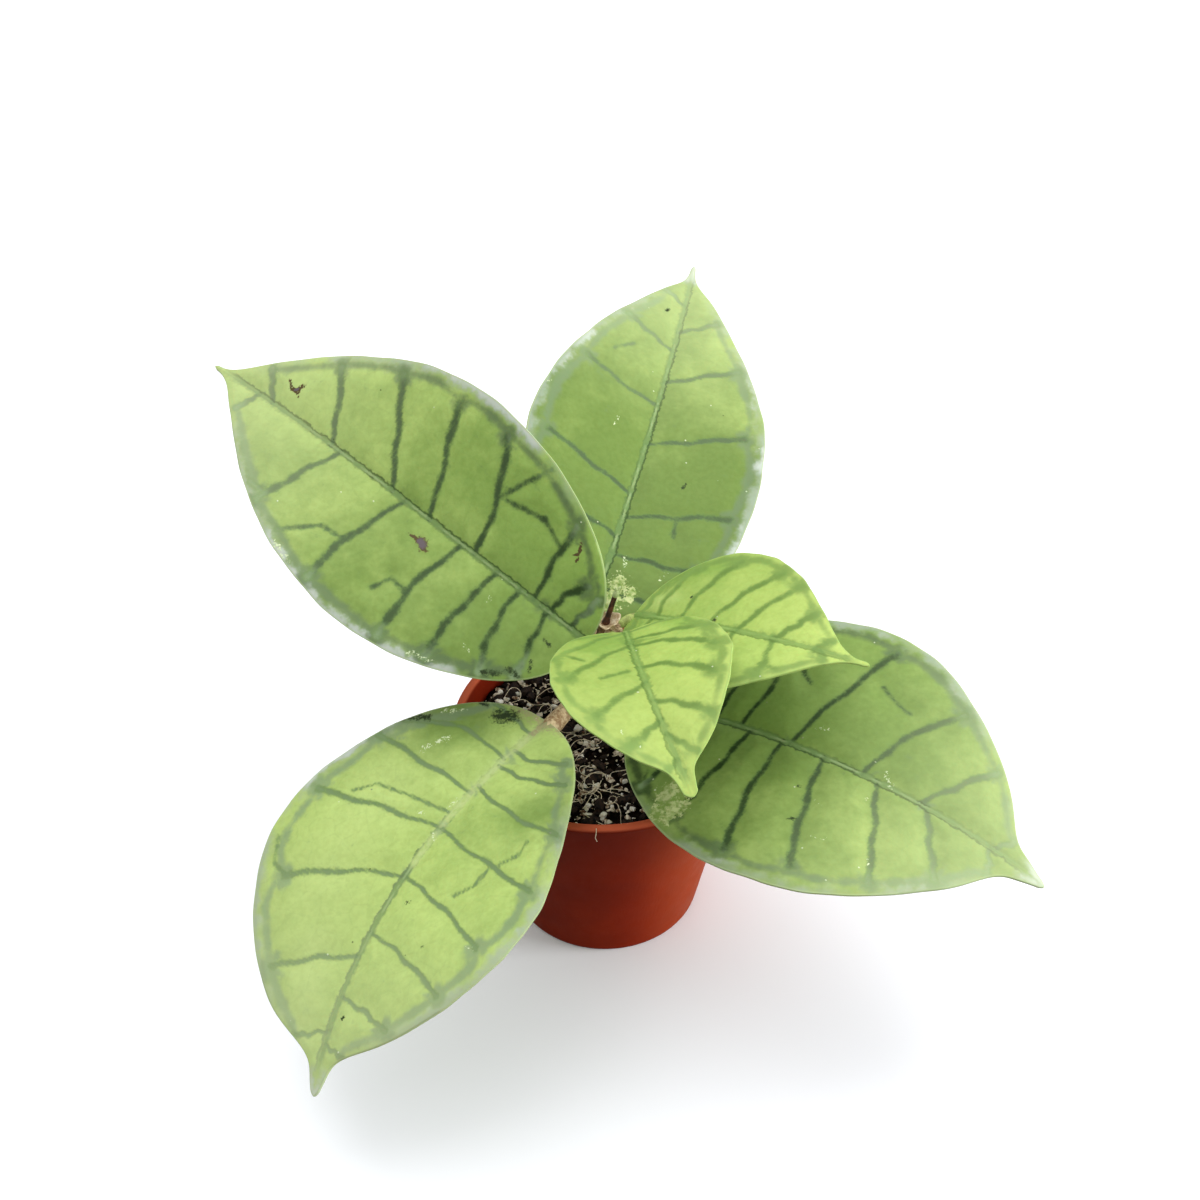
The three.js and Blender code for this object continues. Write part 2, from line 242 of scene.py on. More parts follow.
def pick(*chosen):
    """Selects these objects alone and makes the first one active."""
    bpy.ops.object.select_all(action="DESELECT")
    for piece in chosen:
        piece.select_set(True)
    bpy.context.view_layer.objects.active = chosen[0]


def added(operator, **settings):
    """Adds a primitive with nothing else selected, and returns it."""
    bpy.ops.object.select_all(action="DESELECT")
    operator(**settings)
    return bpy.context.object


def in_edit_mode(*steps):
    """Runs operators, each with its settings, on all of the active mesh in edit mode."""
    bpy.ops.object.mode_set(mode="EDIT")
    bpy.ops.mesh.select_all(action="SELECT")
    for operator, settings in steps:
        operator(**settings)
    bpy.ops.object.mode_set(mode="OBJECT")


MERGE = (bpy.ops.mesh.remove_doubles, dict(threshold=0.001 * MM))
FACE_OUT = (bpy.ops.mesh.normals_make_consistent, dict(inside=False))


def points_of(piece):
    flat = np.empty(len(piece.data.vertices) * 3)
    piece.data.vertices.foreach_get("co", flat)
    return flat.reshape(-1, 3)


def move_points(piece, points):
    piece.data.vertices.foreach_set("co", np.asarray(points, np.float32).ravel())
    piece.data.update()


def paint(piece, name, values):
    """Gives each vertex a number that a material can read."""
    attribute = piece.data.attributes.new(name, "FLOAT", "POINT")
    attribute.data.foreach_set("value", np.asarray(values, np.float32))


def apply_modifier(piece, kind, **settings):
    """Adds a modifier, sets it and applies it to the mesh."""
    pick(piece)
    modifier = piece.modifiers.new(kind, kind)
    for name, value in settings.items():
        setattr(modifier, name, value)
    bpy.ops.object.modifier_apply(modifier=modifier.name)


def join(pieces):
    """Joins several pieces into the first one."""
    pick(*pieces)
    bpy.ops.object.join()
    return bpy.context.object


# %% Helpers for bars and finished pieces


def tube(path, radii, sides=16):
    """A closed round bar through points in millimetres, thick as the radii say, made from a curve."""
    curve = bpy.data.curves.new("bar", "CURVE")
    curve.dimensions = "3D"
    curve.bevel_depth = MM
    curve.bevel_resolution = (sides - 4) // 2
    curve.use_fill_caps = True
    spline = curve.splines.new("POLY")
    spline.points.add(len(path) - 1)
    for point, place, radius in zip(spline.points, path, radii):
        point.co = (*(np.asarray(place) * MM), 1)
        point.radius = radius
    bar = bpy.data.objects.new("bar", curve)
    bpy.context.collection.objects.link(bar)
    pick(bar)
    bpy.ops.object.convert(target="MESH")
    in_edit_mode(MERGE, FACE_OUT)
    return bpy.context.object


def straight_tube(start, way, shares, radii, sides=16):
    """A bar along a straight way from its start, with a point at each share of the way."""
    return tube([start + way * share for share in shares], radii, sides)


def hand_over(piece, name, materials, node=None, smooth=180):
    """Names a finished piece, gives it its materials and its place in the frame, and counts its triangles."""
    pick(piece)
    piece.name = name
    piece.data.name = name
    bpy.ops.object.transform_apply(location=True, rotation=True, scale=True)
    bpy.ops.object.shade_smooth_by_angle(angle=math.radians(smooth))
    piece.data.materials.clear()
    for material in materials:
        piece.data.materials.append(material)
    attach(piece, "root")
    if node:
        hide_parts(node)
    triangles = sum(len(face.vertices) - 2 for face in piece.data.polygons)
    print(name, "has", triangles, "triangles")
    return piece


# %% [markdown]
# ## The leaves: their shape
#
# Each leaf is one waxy blade on a short stalk. Its midrib is a curve that starts at a base, heads one way and
# bends about one fixed direction, more towards the tip. The outline is a formula that fills the base and
# slims the tip. The two halves fold up a little from the midrib. All these sizes are those of the solids.
#
# The last values of each leaf are this scene's own. A beak and a blunt end draw the drip tip. The veins are
# bold to some degree at the base and at the tip, and have a width and an inset from the margin. Depth says
# how much deeper the green is, partly the leaf's own and partly painted shade, and the light-and-shade values
# lighten or darken it as painted light and shade: near left, near right, far left and far right.
#
# The veins are written per half: where each one leaves the midrib, where it ends, both as shares of the
# blade's length, how far out it ends in millimetres, and how far it bows forwards on its way. Near the
# margin, each vein turns and joins the next one in a loop. Minus is the left half and plus is the right.

# %% Leaf sizes
# Lengths in millimetres, angles in degrees
LEAVES = {
    "leaf_left": dict(
        grown=True, node="middle", cushion=224, base=(-2.5, -2, 68.5), heading=149, rise=25, roll=-49,
        arch=27, bend=-3, twist=24, length=104, width=53,
        fold=14, curl=4, shoulder=0.41, belly=2.6, taper=1.63,
        beak=(0.1, 6, 4.5), blunt=0.5, bold=(1, 0.45), line=1.2, inset=2.4,
        depth=(0.45, 0.85, 0.6, 0.15), bright=(1, 1.5, 0.88, 1),
    ),
    "leaf_back": dict(
        grown=True, node="middle", cushion=105, base=(-2, 8.5, 67), heading=72, rise=20, roll=23,
        arch=11, bend=-3, twist=-4, length=102.5, width=51,
        fold=10, curl=3, shoulder=0.29, belly=2.8, taper=1.6,
        beak=(0.3, 6, 4), blunt=0.5, bold=(0.85, 0.35), line=1.05, inset=2.8,
        depth=(0.4, 0.6, 1.1, 0.75), bright=(0.8, 0.76, 0.79, 0.92),
    ),
    "leaf_lower_left": dict(
        grown=True, node="lower", cushion=216, base=(-10.5, -8.5, 54), heading=223, rise=-11, roll=3,
        arch=33, bend=-25, twist=5, length=82, width=61,
        fold=9, curl=-4, shoulder=0.46, belly=3.5, taper=1.53,
        beak=(0.48, 6, 4.2), blunt=0.7, bold=(0.28, 0.02), line=0.75, inset=3.4,
        depth=(-0.6, -0.65, 0.4, 0.5), bright=(1.12, 1.03, 1.08, 1.02),
    ),
    "leaf_right": dict(
        grown=True, node="lower", cushion=-14, base=(9, -1.5, 52.5), heading=-36, rise=14, roll=11,
        arch=38, bend=3, twist=-5, length=84, width=63,
        fold=5, curl=0, shoulder=0.42, belly=2.8, taper=1.51,
        beak=(0.36, 7.5, 4.2), blunt=0.6, bold=(1.35, 0.25), line=1.05,
        inset=2.8, depth=(0.5, 0.3, 1.45, 1.2), bright=(1.2, 1.05, 0.86, 0.78),
    ),
    "leaf_young_front": dict(
        grown=False, node="upper", cushion=-66, base=(4.5, -6, 74), heading=-85, rise=24, roll=8,
        arch=51, bend=-9, twist=4, length=48.5, width=32.5,
        fold=13, curl=0, shoulder=0.44, belly=2.9, taper=1.74,
        beak=(0.24, 5.2, 2.2), blunt=1.2, bold=(0.8, 0.6), line=1.1, inset=1.7,
        depth=(-0.6, -0.2, 0.25, 0.4), bright=(1.08, 0.92, 1.08, 0.84),
    ),
    "leaf_young_right": dict(
        grown=False, node="upper", cushion=38, base=(6.5, 6, 68.5), heading=-40, rise=20, roll=14,
        arch=13, bend=0, twist=-5, length=53, width=38,
        fold=5, curl=0, shoulder=0.45, belly=2.7, taper=2.33,
        beak=(0.0, 6, 4), blunt=0.6, bold=(0.8, 0.6), line=1.2, inset=1.6,
        depth=(-0.2, 0.6, 0.3, 0.2), bright=(0.88, 0.95, 1.2, 1.12),
    ),
}
MIDRIB_STEPS = 60
LATE_BEND = 1.3
BLUNT_REACH = 3
RIPPLE = 0.13

# %% The midrib and the outline


def turned(direction, axis, angles):
    """A direction turned about an axis by each of the angles."""
    along = axis * np.dot(axis, direction)
    across = direction - along
    sideways = np.cross(axis, direction)
    return along + np.outer(np.cos(angles), across) + np.outer(np.sin(angles), sideways)


def midrib(leaf, shares):
    """The midrib's points, and its forward, right and up directions, at shares of its length."""
    heading, rise, roll = np.radians([leaf["heading"], leaf["rise"], leaf["roll"]])
    ahead = np.array([math.cos(heading), math.sin(heading), 0])
    above = np.array([0, 0, 1])
    forward = ahead * math.cos(rise) + above * math.sin(rise)
    upright = above * math.cos(rise) - ahead * math.sin(rise)
    right = turned(np.cross(forward, upright), forward, [roll])[0]
    up = turned(upright, forward, [roll])[0]
    twist, arch, bend = np.radians([leaf["twist"], leaf["arch"], leaf["bend"]])
    bending = forward * twist - right * arch - up * bend
    full = np.linalg.norm(bending)
    axis = bending / full
    middles = (np.arange(MIDRIB_STEPS) + 0.5) / MIDRIB_STEPS
    steps = turned(forward, axis, full * middles**LATE_BEND) * leaf["length"] / MIDRIB_STEPS
    walk = np.vstack([[leaf["base"]], leaf["base"] + np.cumsum(steps, axis=0)])
    places = np.clip(shares, 0, 1) * MIDRIB_STEPS
    points = np.column_stack([np.interp(places, np.arange(MIDRIB_STEPS + 1), row) for row in walk.T])
    angles = full * np.clip(shares, 0, 1) ** LATE_BEND
    return points, *(turned(direction, axis, angles) for direction in (forward, right, up))


def hump(distance, width):
    """1 at no distance and less away from it, nearly 0 at twice the width."""
    return np.exp(-((distance / width) ** 2))


def half_width(leaf, share):
    """How far the blade reaches to each side of the midrib at a share of its length."""
    shoulder, belly, taper = leaf["shoulder"], leaf["belly"], leaf["taper"]

    def shape(t):
        return t**shoulder * (1 - t**belly) ** taper

    widest = (shoulder / (shoulder + belly * taper)) ** (1 / belly)
    full = leaf["width"] / 2 * shape(np.clip(share, 0, 1)) / shape(widest)
    from_tip = (1 - np.clip(share, 0, 1)) * leaf["length"]
    dip, place, spread = leaf["beak"]
    waist = 1 - dip * hump(from_tip - place, spread)
    end = leaf["blunt"] * np.sqrt(np.clip(from_tip, 0, 1)) * hump(from_tip, BLUNT_REACH)
    return full * waist + end


def ripple(leaf, side, share):
    """The uneven run of a margin, in millimetres out from the smooth outline."""
    phase = leaf["heading"] + 2 * side
    slow = np.sin(phase + math.tau * 2.7 * share) + 0.7 * np.sin(1.7 * phase + math.tau * 6.1 * share)
    quick = 0.35 * np.sin(2.3 * phase + math.tau * 13 * share)
    return RIPPLE * (slow + quick) * np.sin(math.pi * np.clip(share, 0, 0.93)) ** 0.6


print("the leaves reach", {name: leaf["length"] for name, leaf in LEAVES.items()}, "mm")

# %% The veins of each leaf
# Each vein: where it starts, where it ends, how far out, how far it bows forwards
VEINS = {
    "leaf_left": dict(
        left=[
            (0.095, 0.065, 14, 0), (0.157, 0.12, 17.5, 0.014), (0.21, 0.213, 21.5, 0.01),
            (0.295, 0.303, 24, 0.015), (0.435, 0.47, 24, 0.015),
            (0.605, 0.65, 18.5, 0.005), (0.84, 0.85, 5.5, 0),
        ],
        right=[
            (0.043, 0.03, 8, 0), (0.087, 0.058, 9, 0.01),
            (0.127, 0.135, 17, 0.003), (0.267, 0.33, 22.5, -0.012),
            (0.377, 0.445, 22, 0), (0.47, 0.577, 20, 0), (0.63, 0.707, 14, -0.005), (0.8, 0.85, 6, 0),
        ],
        branches=[
            [(0.287, 11.5), (0.255, 18), (0.23, 22.5)], [(0.133, 11.5), (0.19, 14.2), (0.27, 12.5)],
            [(0.315, -14), (0.356, -14), (0.37, -17.5)], [(0.471, -13.5), (0.524, -14.5), (0.575, -20.5)],
            [(0.652, -16.5), (0.69, -16.5)],
        ],
    ),
    "leaf_back": dict(
        left=[
            (0.09, 0.08, 14, 0.01), (0.18, 0.19, 19, 0.01), (0.288, 0.341, 21, 0),
            (0.527, 0.565, 18, -0.005), (0.69, 0.735, 12, 0), (0.84, 0.87, 5.5, 0),
        ],
        right=[
            (0.06, 0.05, 12, 0), (0.141, 0.146, 18, 0), (0.229, 0.29, 21, 0.003),
            (0.42, 0.493, 20, 0), (0.595, 0.673, 15, 0), (0.75, 0.8, 8, 0),
        ],
        branches=[[(0.26, 10.5), (0.215, 11)], [(0.62, -13), (0.66, -9)]],
    ),
    "leaf_lower_left": dict(
        left=[
            (0.107, 0.073, 12, 0.015), (0.159, 0.122, 16, 0.014), (0.226, 0.238, 23, 0.017),
            (0.354, 0.39, 26.5, 0.006), (0.488, 0.567, 24, -0.012), (0.628, 0.7, 21, -0.012),
            (0.775, 0.81, 13, -0.005), (0.88, 0.9, 5, 0),
        ],
        right=[
            (0.05, 0.045, 11, 0), (0.14, 0.2, 22.5, -0.03), (0.25, 0.259, 25, -0.002), (0.354, 0.42, 27, 0),
            (0.488, 0.6, 22.5, -0.008), (0.683, 0.768, 16.5, -0.004), (0.85, 0.88, 6.5, 0),
        ],
        branches=[
            [(0.315, 1), (0.33, 9), (0.348, 17), (0.388, 20.5)],
            [(0.287, -19), (0.33, -19.3), (0.372, -17)],
            [(0.38, -16), (0.44, -15.5), (0.48, -13)], [(0.598, 22.5), (0.585, 26), (0.54, 28)],
        ],
    ),
    "leaf_right": dict(
        left=[
            (0.1, 0.09, 15, 0.01), (0.185, 0.175, 20, 0.005),
            (0.25, 0.27, 25, 0.005), (0.375, 0.476, 27.5, -0.008),
            (0.55, 0.667, 21, -0.02), (0.685, 0.786, 14, -0.004), (0.86, 0.9, 4.5, 0),
        ],
        right=[
            (0.09, 0.06, 13, 0), (0.18, 0.143, 21, 0.01), (0.28, 0.256, 25, 0), (0.36, 0.405, 28, -0.015),
            (0.458, 0.536, 25.5, -0.007), (0.583, 0.685, 20.5, 0.003),
            (0.7, 0.79, 13, 0), (0.85, 0.88, 6, 0),
        ],
        branches=[[(0.488, -19), (0.536, -16.7), (0.57, -16)], [(0.3, -17), (0.34, -14)]],
    ),
    "leaf_young_front": dict(
        left=[
            (0.03, 0.12, 11.5, -0.02), (0.12, 0.29, 14.6, -0.005), (0.19, 0.425, 14.2, -0.03),
            (0.37, 0.567, 11.5, -0.035), (0.575, 0.735, 8.4, -0.02), (0.735, 0.85, 3.8, 0),
        ],
        right=[
            (0.02, 0.27, 14.4, 0), (0.17, 0.42, 13.4, 0), (0.47, 0.61, 10.5, 0), (0.67, 0.76, 6.8, 0),
            (0.845, 0.88, 2.4, 0),
        ],
        branches=[[(0.387, 2.2), (0.425, 7.5)], [(0.04, 3), (0.12, 11)], [(0.3, 9.5), (0.24, 13)]],
    ),
    "leaf_young_right": dict(
        left=[
            (0.03, 0.05, 9, 0), (0.11, 0.153, 13.5, -0.03),
            (0.215, 0.307, 16, -0.03), (0.34, 0.495, 15.3, -0.025),
            (0.465, 0.596, 12.8, -0.015), (0.62, 0.708, 7.5, 0), (0.78, 0.82, 3, 0),
        ],
        right=[
            (0.03, 0.05, 9, 0), (0.1, 0.14, 13.5, -0.02), (0.2, 0.29, 16, -0.02), (0.33, 0.45, 15.5, -0.02),
            (0.46, 0.55, 13.2, -0.015), (0.613, 0.66, 9.6, 0.01), (0.8, 0.84, 2.6, 0),
        ],
        branches=[[(0.643, 6.9), (0.71, 7.2)]],
    ),
}
print("the leaves have", sum(len(v["left"]) + len(v["right"]) for v in VEINS.values()), "side veins")

# %% [markdown]
# ## The leaves: a blade
#
# A grid is the natural start of a blade: its rows become lines across the leaf and its columns lines along
# it. The grid's points are moved onto the leaf's form by the formulas above. The rows crowd at the blunt
# base, where the outline turns fast, and the columns crowd at the midrib, which is raised and has a groove on
# each side. The surface swells softly between the veins, as the real blade does.
#
# A net of veins this irregular is easier to draw on the mesh than in a shader. So each vertex also carries a
# few numbers: how close it is to a vein, to the midrib and to the margin, where a scar or a stain is, where
# the grey band with its painted sheen runs, where the green is deeper, partly as painted shade, and how much
# painted light and shade lightens or darkens it. The material then turns those numbers into soft, slightly
# ragged lines and spots. A Solidify modifier gives the blade its thickness, thin at the margin, with slots of
# their own for the underside and the rim.

# %% Vein lines
GROWN = dict(thickness=0.95, rim=0.4, quilting=0.45, rows=224, columns=112, ridge=0.1, vein=0.68, loop=1.2)
YOUNG = dict(thickness=0.7, rim=0.45, quilting=0.3, rows=150, columns=84, ridge=0.12, vein=0.66, loop=1.0)
VEIN_WOBBLE = 0.35
CORNER = 1.1 # how far the veins run together where they meet
BLADE_START = 0.0003
BLADE_STOP = 0.9995
TIP_CUT = dict(start=0.8, share=0.016) # draws the drip tips in to the solids' length
VEIN_STEPS = 14
LOOP_STEPS = 12
OUTLINE_STEPS = 200
TINY = 1e-9


def vein_line(leaf, side, vein, random_source):
    """A side vein as flat points: how far along the blade, and how far across, in millimetres."""
    start, end, reach, bow = vein
    way = np.linspace(0, 1, VEIN_STEPS)
    share = start + (end - start) * way + 4 * bow * way * (1 - way)
    phase, turns = random_source.uniform(0, 6.28), random_source.uniform(1.5, 2.6)
    wobble = VEIN_WOBBLE * np.sin(phase + turns * math.tau * way) * np.sin(math.pi * way)
    return np.column_stack([share * leaf["length"] + wobble, side * reach * way])


def loop_line(leaf, side, first, second):
    """The loop between the ends of two veins, which swings out towards the margin between them."""
    way = np.linspace(0, 1, LOOP_STEPS)
    swing = np.sin(math.pi * way) ** 0.7
    inset_first = half_width(leaf, first[1]) - first[2]
    inset_second = half_width(leaf, second[1]) - second[2]
    inset = (inset_first + (inset_second - inset_first) * way) * (1 - swing) + leaf["inset"] * swing
    share = first[1] + (second[1] - first[1]) * way
    across = np.maximum(half_width(leaf, share) - inset, 0.4)
    return np.column_stack([share * leaf["length"], side * across])


def outline_line(leaf):
    """The blade's margin as flat points, out along the left half and back along the right."""
    way = np.linspace(0, 1, OUTLINE_STEPS)
    share = BLADE_START + (1 - BLADE_START) * way**2 * (3 - 2 * way)
    sides = [side * (half_width(leaf, share) + ripple(leaf, side, share)) for side in (-1, 1)]
    there, back = (np.column_stack([share * leaf["length"], across]) for across in sides)
    return np.vstack([there, back[::-1]])


def distance_to(line, flat, widths=1.0):
    """The distance from each flat point to a line, in units of the line's width there."""
    start = line[:-1]
    way = line[1:] - start
    offset = flat[:, None, :] - start[None]
    share = np.clip((offset * way).sum(2) / np.maximum((way**2).sum(1), TINY), 0, 1)
    gap = np.linalg.norm(offset - share[..., None] * way, axis=2)
    return (gap / widths).min(1)


# %% The marks on each leaf
# Each kind of mark: lines of (share of the length, millimetres across), and how wide the mark is about them
MARKS = {
    "leaf_left": dict(
        silver=[
            ([(0.34, -25), (0.56, -23)], 4.5),
            ([(0.17, -22), (0.27, -25)], 3.5), ([(0.3, 25), (0.52, 24)], 4.5),
        ],
        scar=[
            ([(0.347, -5.3), (0.354, -4.8), (0.362, -4.7)], 1.2), ([(0.366, -4.7), (0.385, -5)], 0.4),
            ([(0.757, 6.6), (0.764, 4.9), (0.777, 4.8)], 0.6), ([(0.775, 4.6), (0.793, 6)], 0.4),
            ([(0.762, 5.2), (0.752, 4)], 0.4), ([(0.1, 11.5), (0.112, 15)], 0.3),
            ([(0.112, 12), (0.106, 13)], 0.3),
        ],
        ash=[([(0.35, -5.1), (0.36, -4.7)], 0.95), ([(0.763, 5.4), (0.768, 4.9)], 0.4)],
        stain=[
            ([(0.06, -13.5), (0.085, -13.4)], 0.75), ([(0.09, -15.2), (0.115, -17)], 0.8),
            ([(0.05, -5.2), (0.066, -4.8)], 0.5), ([(0.05, -11.5), (0.06, -9.5)], 0.45),
        ],
        chalk=[
            ([(0.187, -5.5), (0.19, -5)], 0.75), ([(0.52, -24), (0.56, -23)], 1.2),
            ([(0.2, -21.5), (0.24, -22.8)], 1.0),
            ([(0.16, -15.5), (0.17, -15)], 0.9), ([(0.14, -20.5), (0.18, -22)], 0.7),
        ],
    ),
    "leaf_back": dict(
        cork=[([(0.02, 2.5), (0.08, 3.5)], 2.2), ([(0.05, 6), (0.07, 6.5)], 1.2)],
        deep=[([(0.05, -4), (0.25, 8)], 12), ([(0.3, -8), (0.38, -6)], 7), ([(0.3, 12), (0.4, 15)], 6)],
        silver=[
            ([(0.2, 22), (0.62, 17)], 4.5), ([(0.44, 24), (0.46, 24)], 4), ([(0.48, -22), (0.62, -18)], 3),
            ([(0.95, 0), (1, 0)], 3.5),
        ],
        stain=[([(0.795, -4), (0.803, -3.6)], 0.55), ([(0.33, 10), (0.345, 10.4)], 0.4)],
        chalk=[
            ([(0.42, -8), (0.45, -7.6)], 0.5),
            ([(0.45, -24.2), (0.453, -23.8)], 0.6), ([(0.12, 3.4), (0.14, 3)], 0.8),
            ([(0.11, 11), (0.13, 12)], 0.7),
        ],
    ),
    "leaf_lower_left": dict(
        deep=[([(0.08, 22), (0.14, 15)], 6), ([(0.1, 26), (0.2, 27)], 5), ([(0.2, -17), (0.26, -14)], 4)],
        pale=[
            ([(0.04, 0), (0.3, 0)], 1.9), ([(0.3, 0), (0.45, 0)], 1.2), ([(0.35, 15), (0.55, 14)], 8),
            ([(0.7, 9), (0.85, 6)], 4),
        ],
        silver=[([(0.18, 25), (0.4, 29)], 4), ([(0.5, -27), (0.72, -18)], 4), ([(0.96, 0), (1, 0)], 3)],
        stain=[
            ([(0.05, 6.5), (0.062, 8)], 2.4), ([(0.06, 12), (0.07, 16)], 0.8),
            ([(0.534, -4.9), (0.54, -4.4)], 0.5),
            ([(0.812, -2.6), (0.816, -2.4)], 0.45), ([(0.61, -13.5), (0.615, -13.2)], 0.4),
            ([(0.165, 19), (0.185, 22), (0.2, 24)], 1.1),
        ],
        dry=[
            ([(0.0, -5), (0.004, 0), (0.01, 7)], 2.2),
            ([(0.01, 0), (0.045, 0)], 1.2), ([(0.02, 9), (0.035, 12)], 1.2),
        ],
        chalk=[
            ([(0.18, 12), (0.23, 14.5)], 1.1), ([(0.1, 14.5), (0.13, 17.5)], 0.9),
            ([(0.28, 1.5), (0.31, 1.5)], 0.7),
            ([(0.35, 5), (0.355, 6)], 0.7), ([(0.57, -23), (0.575, -22)], 0.6),
            ([(0.37, 1), (0.39, -1)], 0.6),
        ],
    ),
    "leaf_right": dict(
        deep=[([(0.05, -2), (0.3, -6)], 10), ([(0.38, 6), (0.4, 3)], 4)],
        silver=[([(0.42, -28), (0.62, -22)], 4), ([(0.4, 28), (0.7, 17)], 4), ([(0.95, 0), (1, 0)], 3)],
        cork=[
            ([(0.215, 20), (0.225, 25)], 2.3),
            ([(0.26, 21), (0.262, 24)], 1.4), ([(0.24, 22), (0.25, 26)], 1.4),
        ],
        chalk=[
            ([(0.405, -5), (0.44, -5.6)], 0.5),
            ([(0.59, -2.5), (0.62, 0)], 0.8), ([(0.585, 4.5), (0.59, 5)], 0.7),
            ([(0.54, 18), (0.57, 17)], 0.5),
            ([(0.66, 16.5), (0.665, 17)], 0.6), ([(0.5, 10), (0.53, 11)], 0.4),
        ],
        stain=[([(0.475, 16.3), (0.485, 15.8)], 0.5), ([(0.45, 8.7), (0.455, 8.7)], 0.45)],
    ),
    "leaf_young_front": dict(
        deep=[([(0.05, -9), (0.2, -11)], 3), ([(0.1, 3), (0.2, 7)], 3)],
        chalk=[([(0.69, 7.2), (0.7, 7)], 0.6), ([(0.765, 5.5), (0.768, 5.3)], 0.5)],
    ),
    "leaf_young_right": dict(
        deep=[([(0.1, -12), (0.25, -15)], 2.5)],
        pale=[([(0.06, -3.5), (0.12, -5)], 2)],
        chalk=[([(0.57, 4.2), (0.578, 4.8)], 0.55)],
        stain=[([(0.2, -6), (0.203, -5.6)], 0.4), ([(0.355, -1.6), (0.36, -1.2)], 0.5)],
    ),
}
# The deeper green marks are partly the leaf's own colour and partly painted shade, as where the young leaves
# shade leaf_right.
MARK_KINDS = ("deep", "pale", "silver", "dry", "cork", "stain", "scar", "ash", "chalk")

# %% The form of a blade
EVEN_ROWS = 0.18 # the share of the rows' spacing that stays even
CROWDING = 1.35
FOLD_ROUNDING = 0.9 # softens the fold along the midrib


def blade_form(leaf, along, across):
    """Where each point of the blade's grid goes, and its flat place in millimetres along and across."""
    eased = EVEN_ROWS * along + (1 - EVEN_ROWS) * along**2 * (3 - 2 * along)
    share = BLADE_START + (BLADE_STOP - BLADE_START) * eased
    side = np.sign(across)
    spread = np.abs(across) ** CROWDING
    margin = np.where(side < 0, ripple(leaf, -1, share), ripple(leaf, 1, share)) + half_width(leaf, share)
    reach = spread * margin
    flat = np.column_stack([share * leaf["length"], side * reach])
    drawn_in = TIP_CUT["share"] * np.clip((share - TIP_CUT["start"]) / (1 - TIP_CUT["start"]), 0, 1) ** 1.5
    points, _, right, up = midrib(leaf, share - drawn_in)
    slope = np.radians(leaf["fold"] + leaf["curl"] * reach / leaf["width"])[:, None]
    climb = (np.sqrt(reach**2 + FOLD_ROUNDING**2) - FOLD_ROUNDING)[:, None]
    place = points + right * (side * reach)[:, None] * np.cos(slope) + up * climb * np.sin(slope)
    normal = up * np.cos(slope) - right * side[:, None] * np.sin(slope)
    return place, normal, flat


# %% The map of the veins
FAR = 99.0
BRANCH = dict(strength=0.75, width=0.85)
MEETING = dict(start=0.3, spread=0.5)
LAST_CORNERS = (0.82, 0.92)


def close_to(line, flat, width):
    """1 on a line and less away from it, nearly 0 at twice this width."""
    return np.exp(-distance_to(line, flat, width) ** 2)


def vein_map(name, leaf, kind, flat):
    """How close each flat point is to a vein, a loop and a corner between two, and the gap to the nearest."""
    random_source = random.Random(name)
    veins, loops = np.zeros(len(flat)), np.zeros(len(flat))
    gap, crowd = np.abs(flat[:, 1]), np.full(len(flat), TINY)
    net_gap = np.full(len(flat), FAR)
    for side, half in ((-1, "left"), (1, "right")):
        side_veins = VEINS[name][half]
        for vein in side_veins:
            line = vein_line(leaf, side, vein, random_source)
            widths = kind["vein"] * leaf["line"] * np.linspace(0.75, 1.25, len(line) - 1)
            veins = np.maximum(veins, close_to(line, flat, widths))
            away = distance_to(line, flat)
            net_gap, crowd = np.minimum(net_gap, away), crowd + np.exp(-away / CORNER)
        for first, second in zip(side_veins, side_veins[1:]):
            line = loop_line(leaf, side, first, second)
            loops = np.maximum(loops, close_to(line, flat, kind["loop"]))
            away = distance_to(line, flat)
            net_gap, crowd = np.minimum(net_gap, away), crowd + np.exp(-away / CORNER)
    for branch in VEINS[name]["branches"]:
        line = np.array(branch) * (leaf["length"], 1)
        width = kind["vein"] * leaf["line"] * BRANCH["width"]
        veins = np.maximum(veins, BRANCH["strength"] * close_to(line, flat, width))
        gap = np.minimum(gap, distance_to(line, flat))
    blurred_gap = -CORNER * np.log(crowd)
    meeting = np.clip((net_gap - blurred_gap - MEETING["start"]) / MEETING["spread"], 0, 1)
    corners = meeting * hump(np.maximum(blurred_gap, 0), kind["loop"])
    corners *= np.interp(flat[:, 0] / leaf["length"], LAST_CORNERS, [1, 0])
    return veins, np.maximum(loops, corners), np.minimum(gap, net_gap)


# %% One blade
VALLEY = dict(vein=2.6, margin=2.0) # how far from these the surface has swollen to its height
RIDGE = dict(width=0.55, slimming=0.55, groove=0.9, groove_width=2.6)
WAVE = dict(height=0.35, count=2.3)
HALVES_BLEND = 6
RIM_REACH = 1.3


def over_blade(corners, across, share):
    """A number that goes softly from near left and near right to far left and far right over a blade."""
    near_left, near_right, far_left, far_right = corners
    to_right = 0.5 + 0.5 * np.tanh(across / HALVES_BLEND)
    near = near_left + (near_right - near_left) * to_right
    far = far_left + (far_right - far_left) * to_right
    return near + (far - near) * share


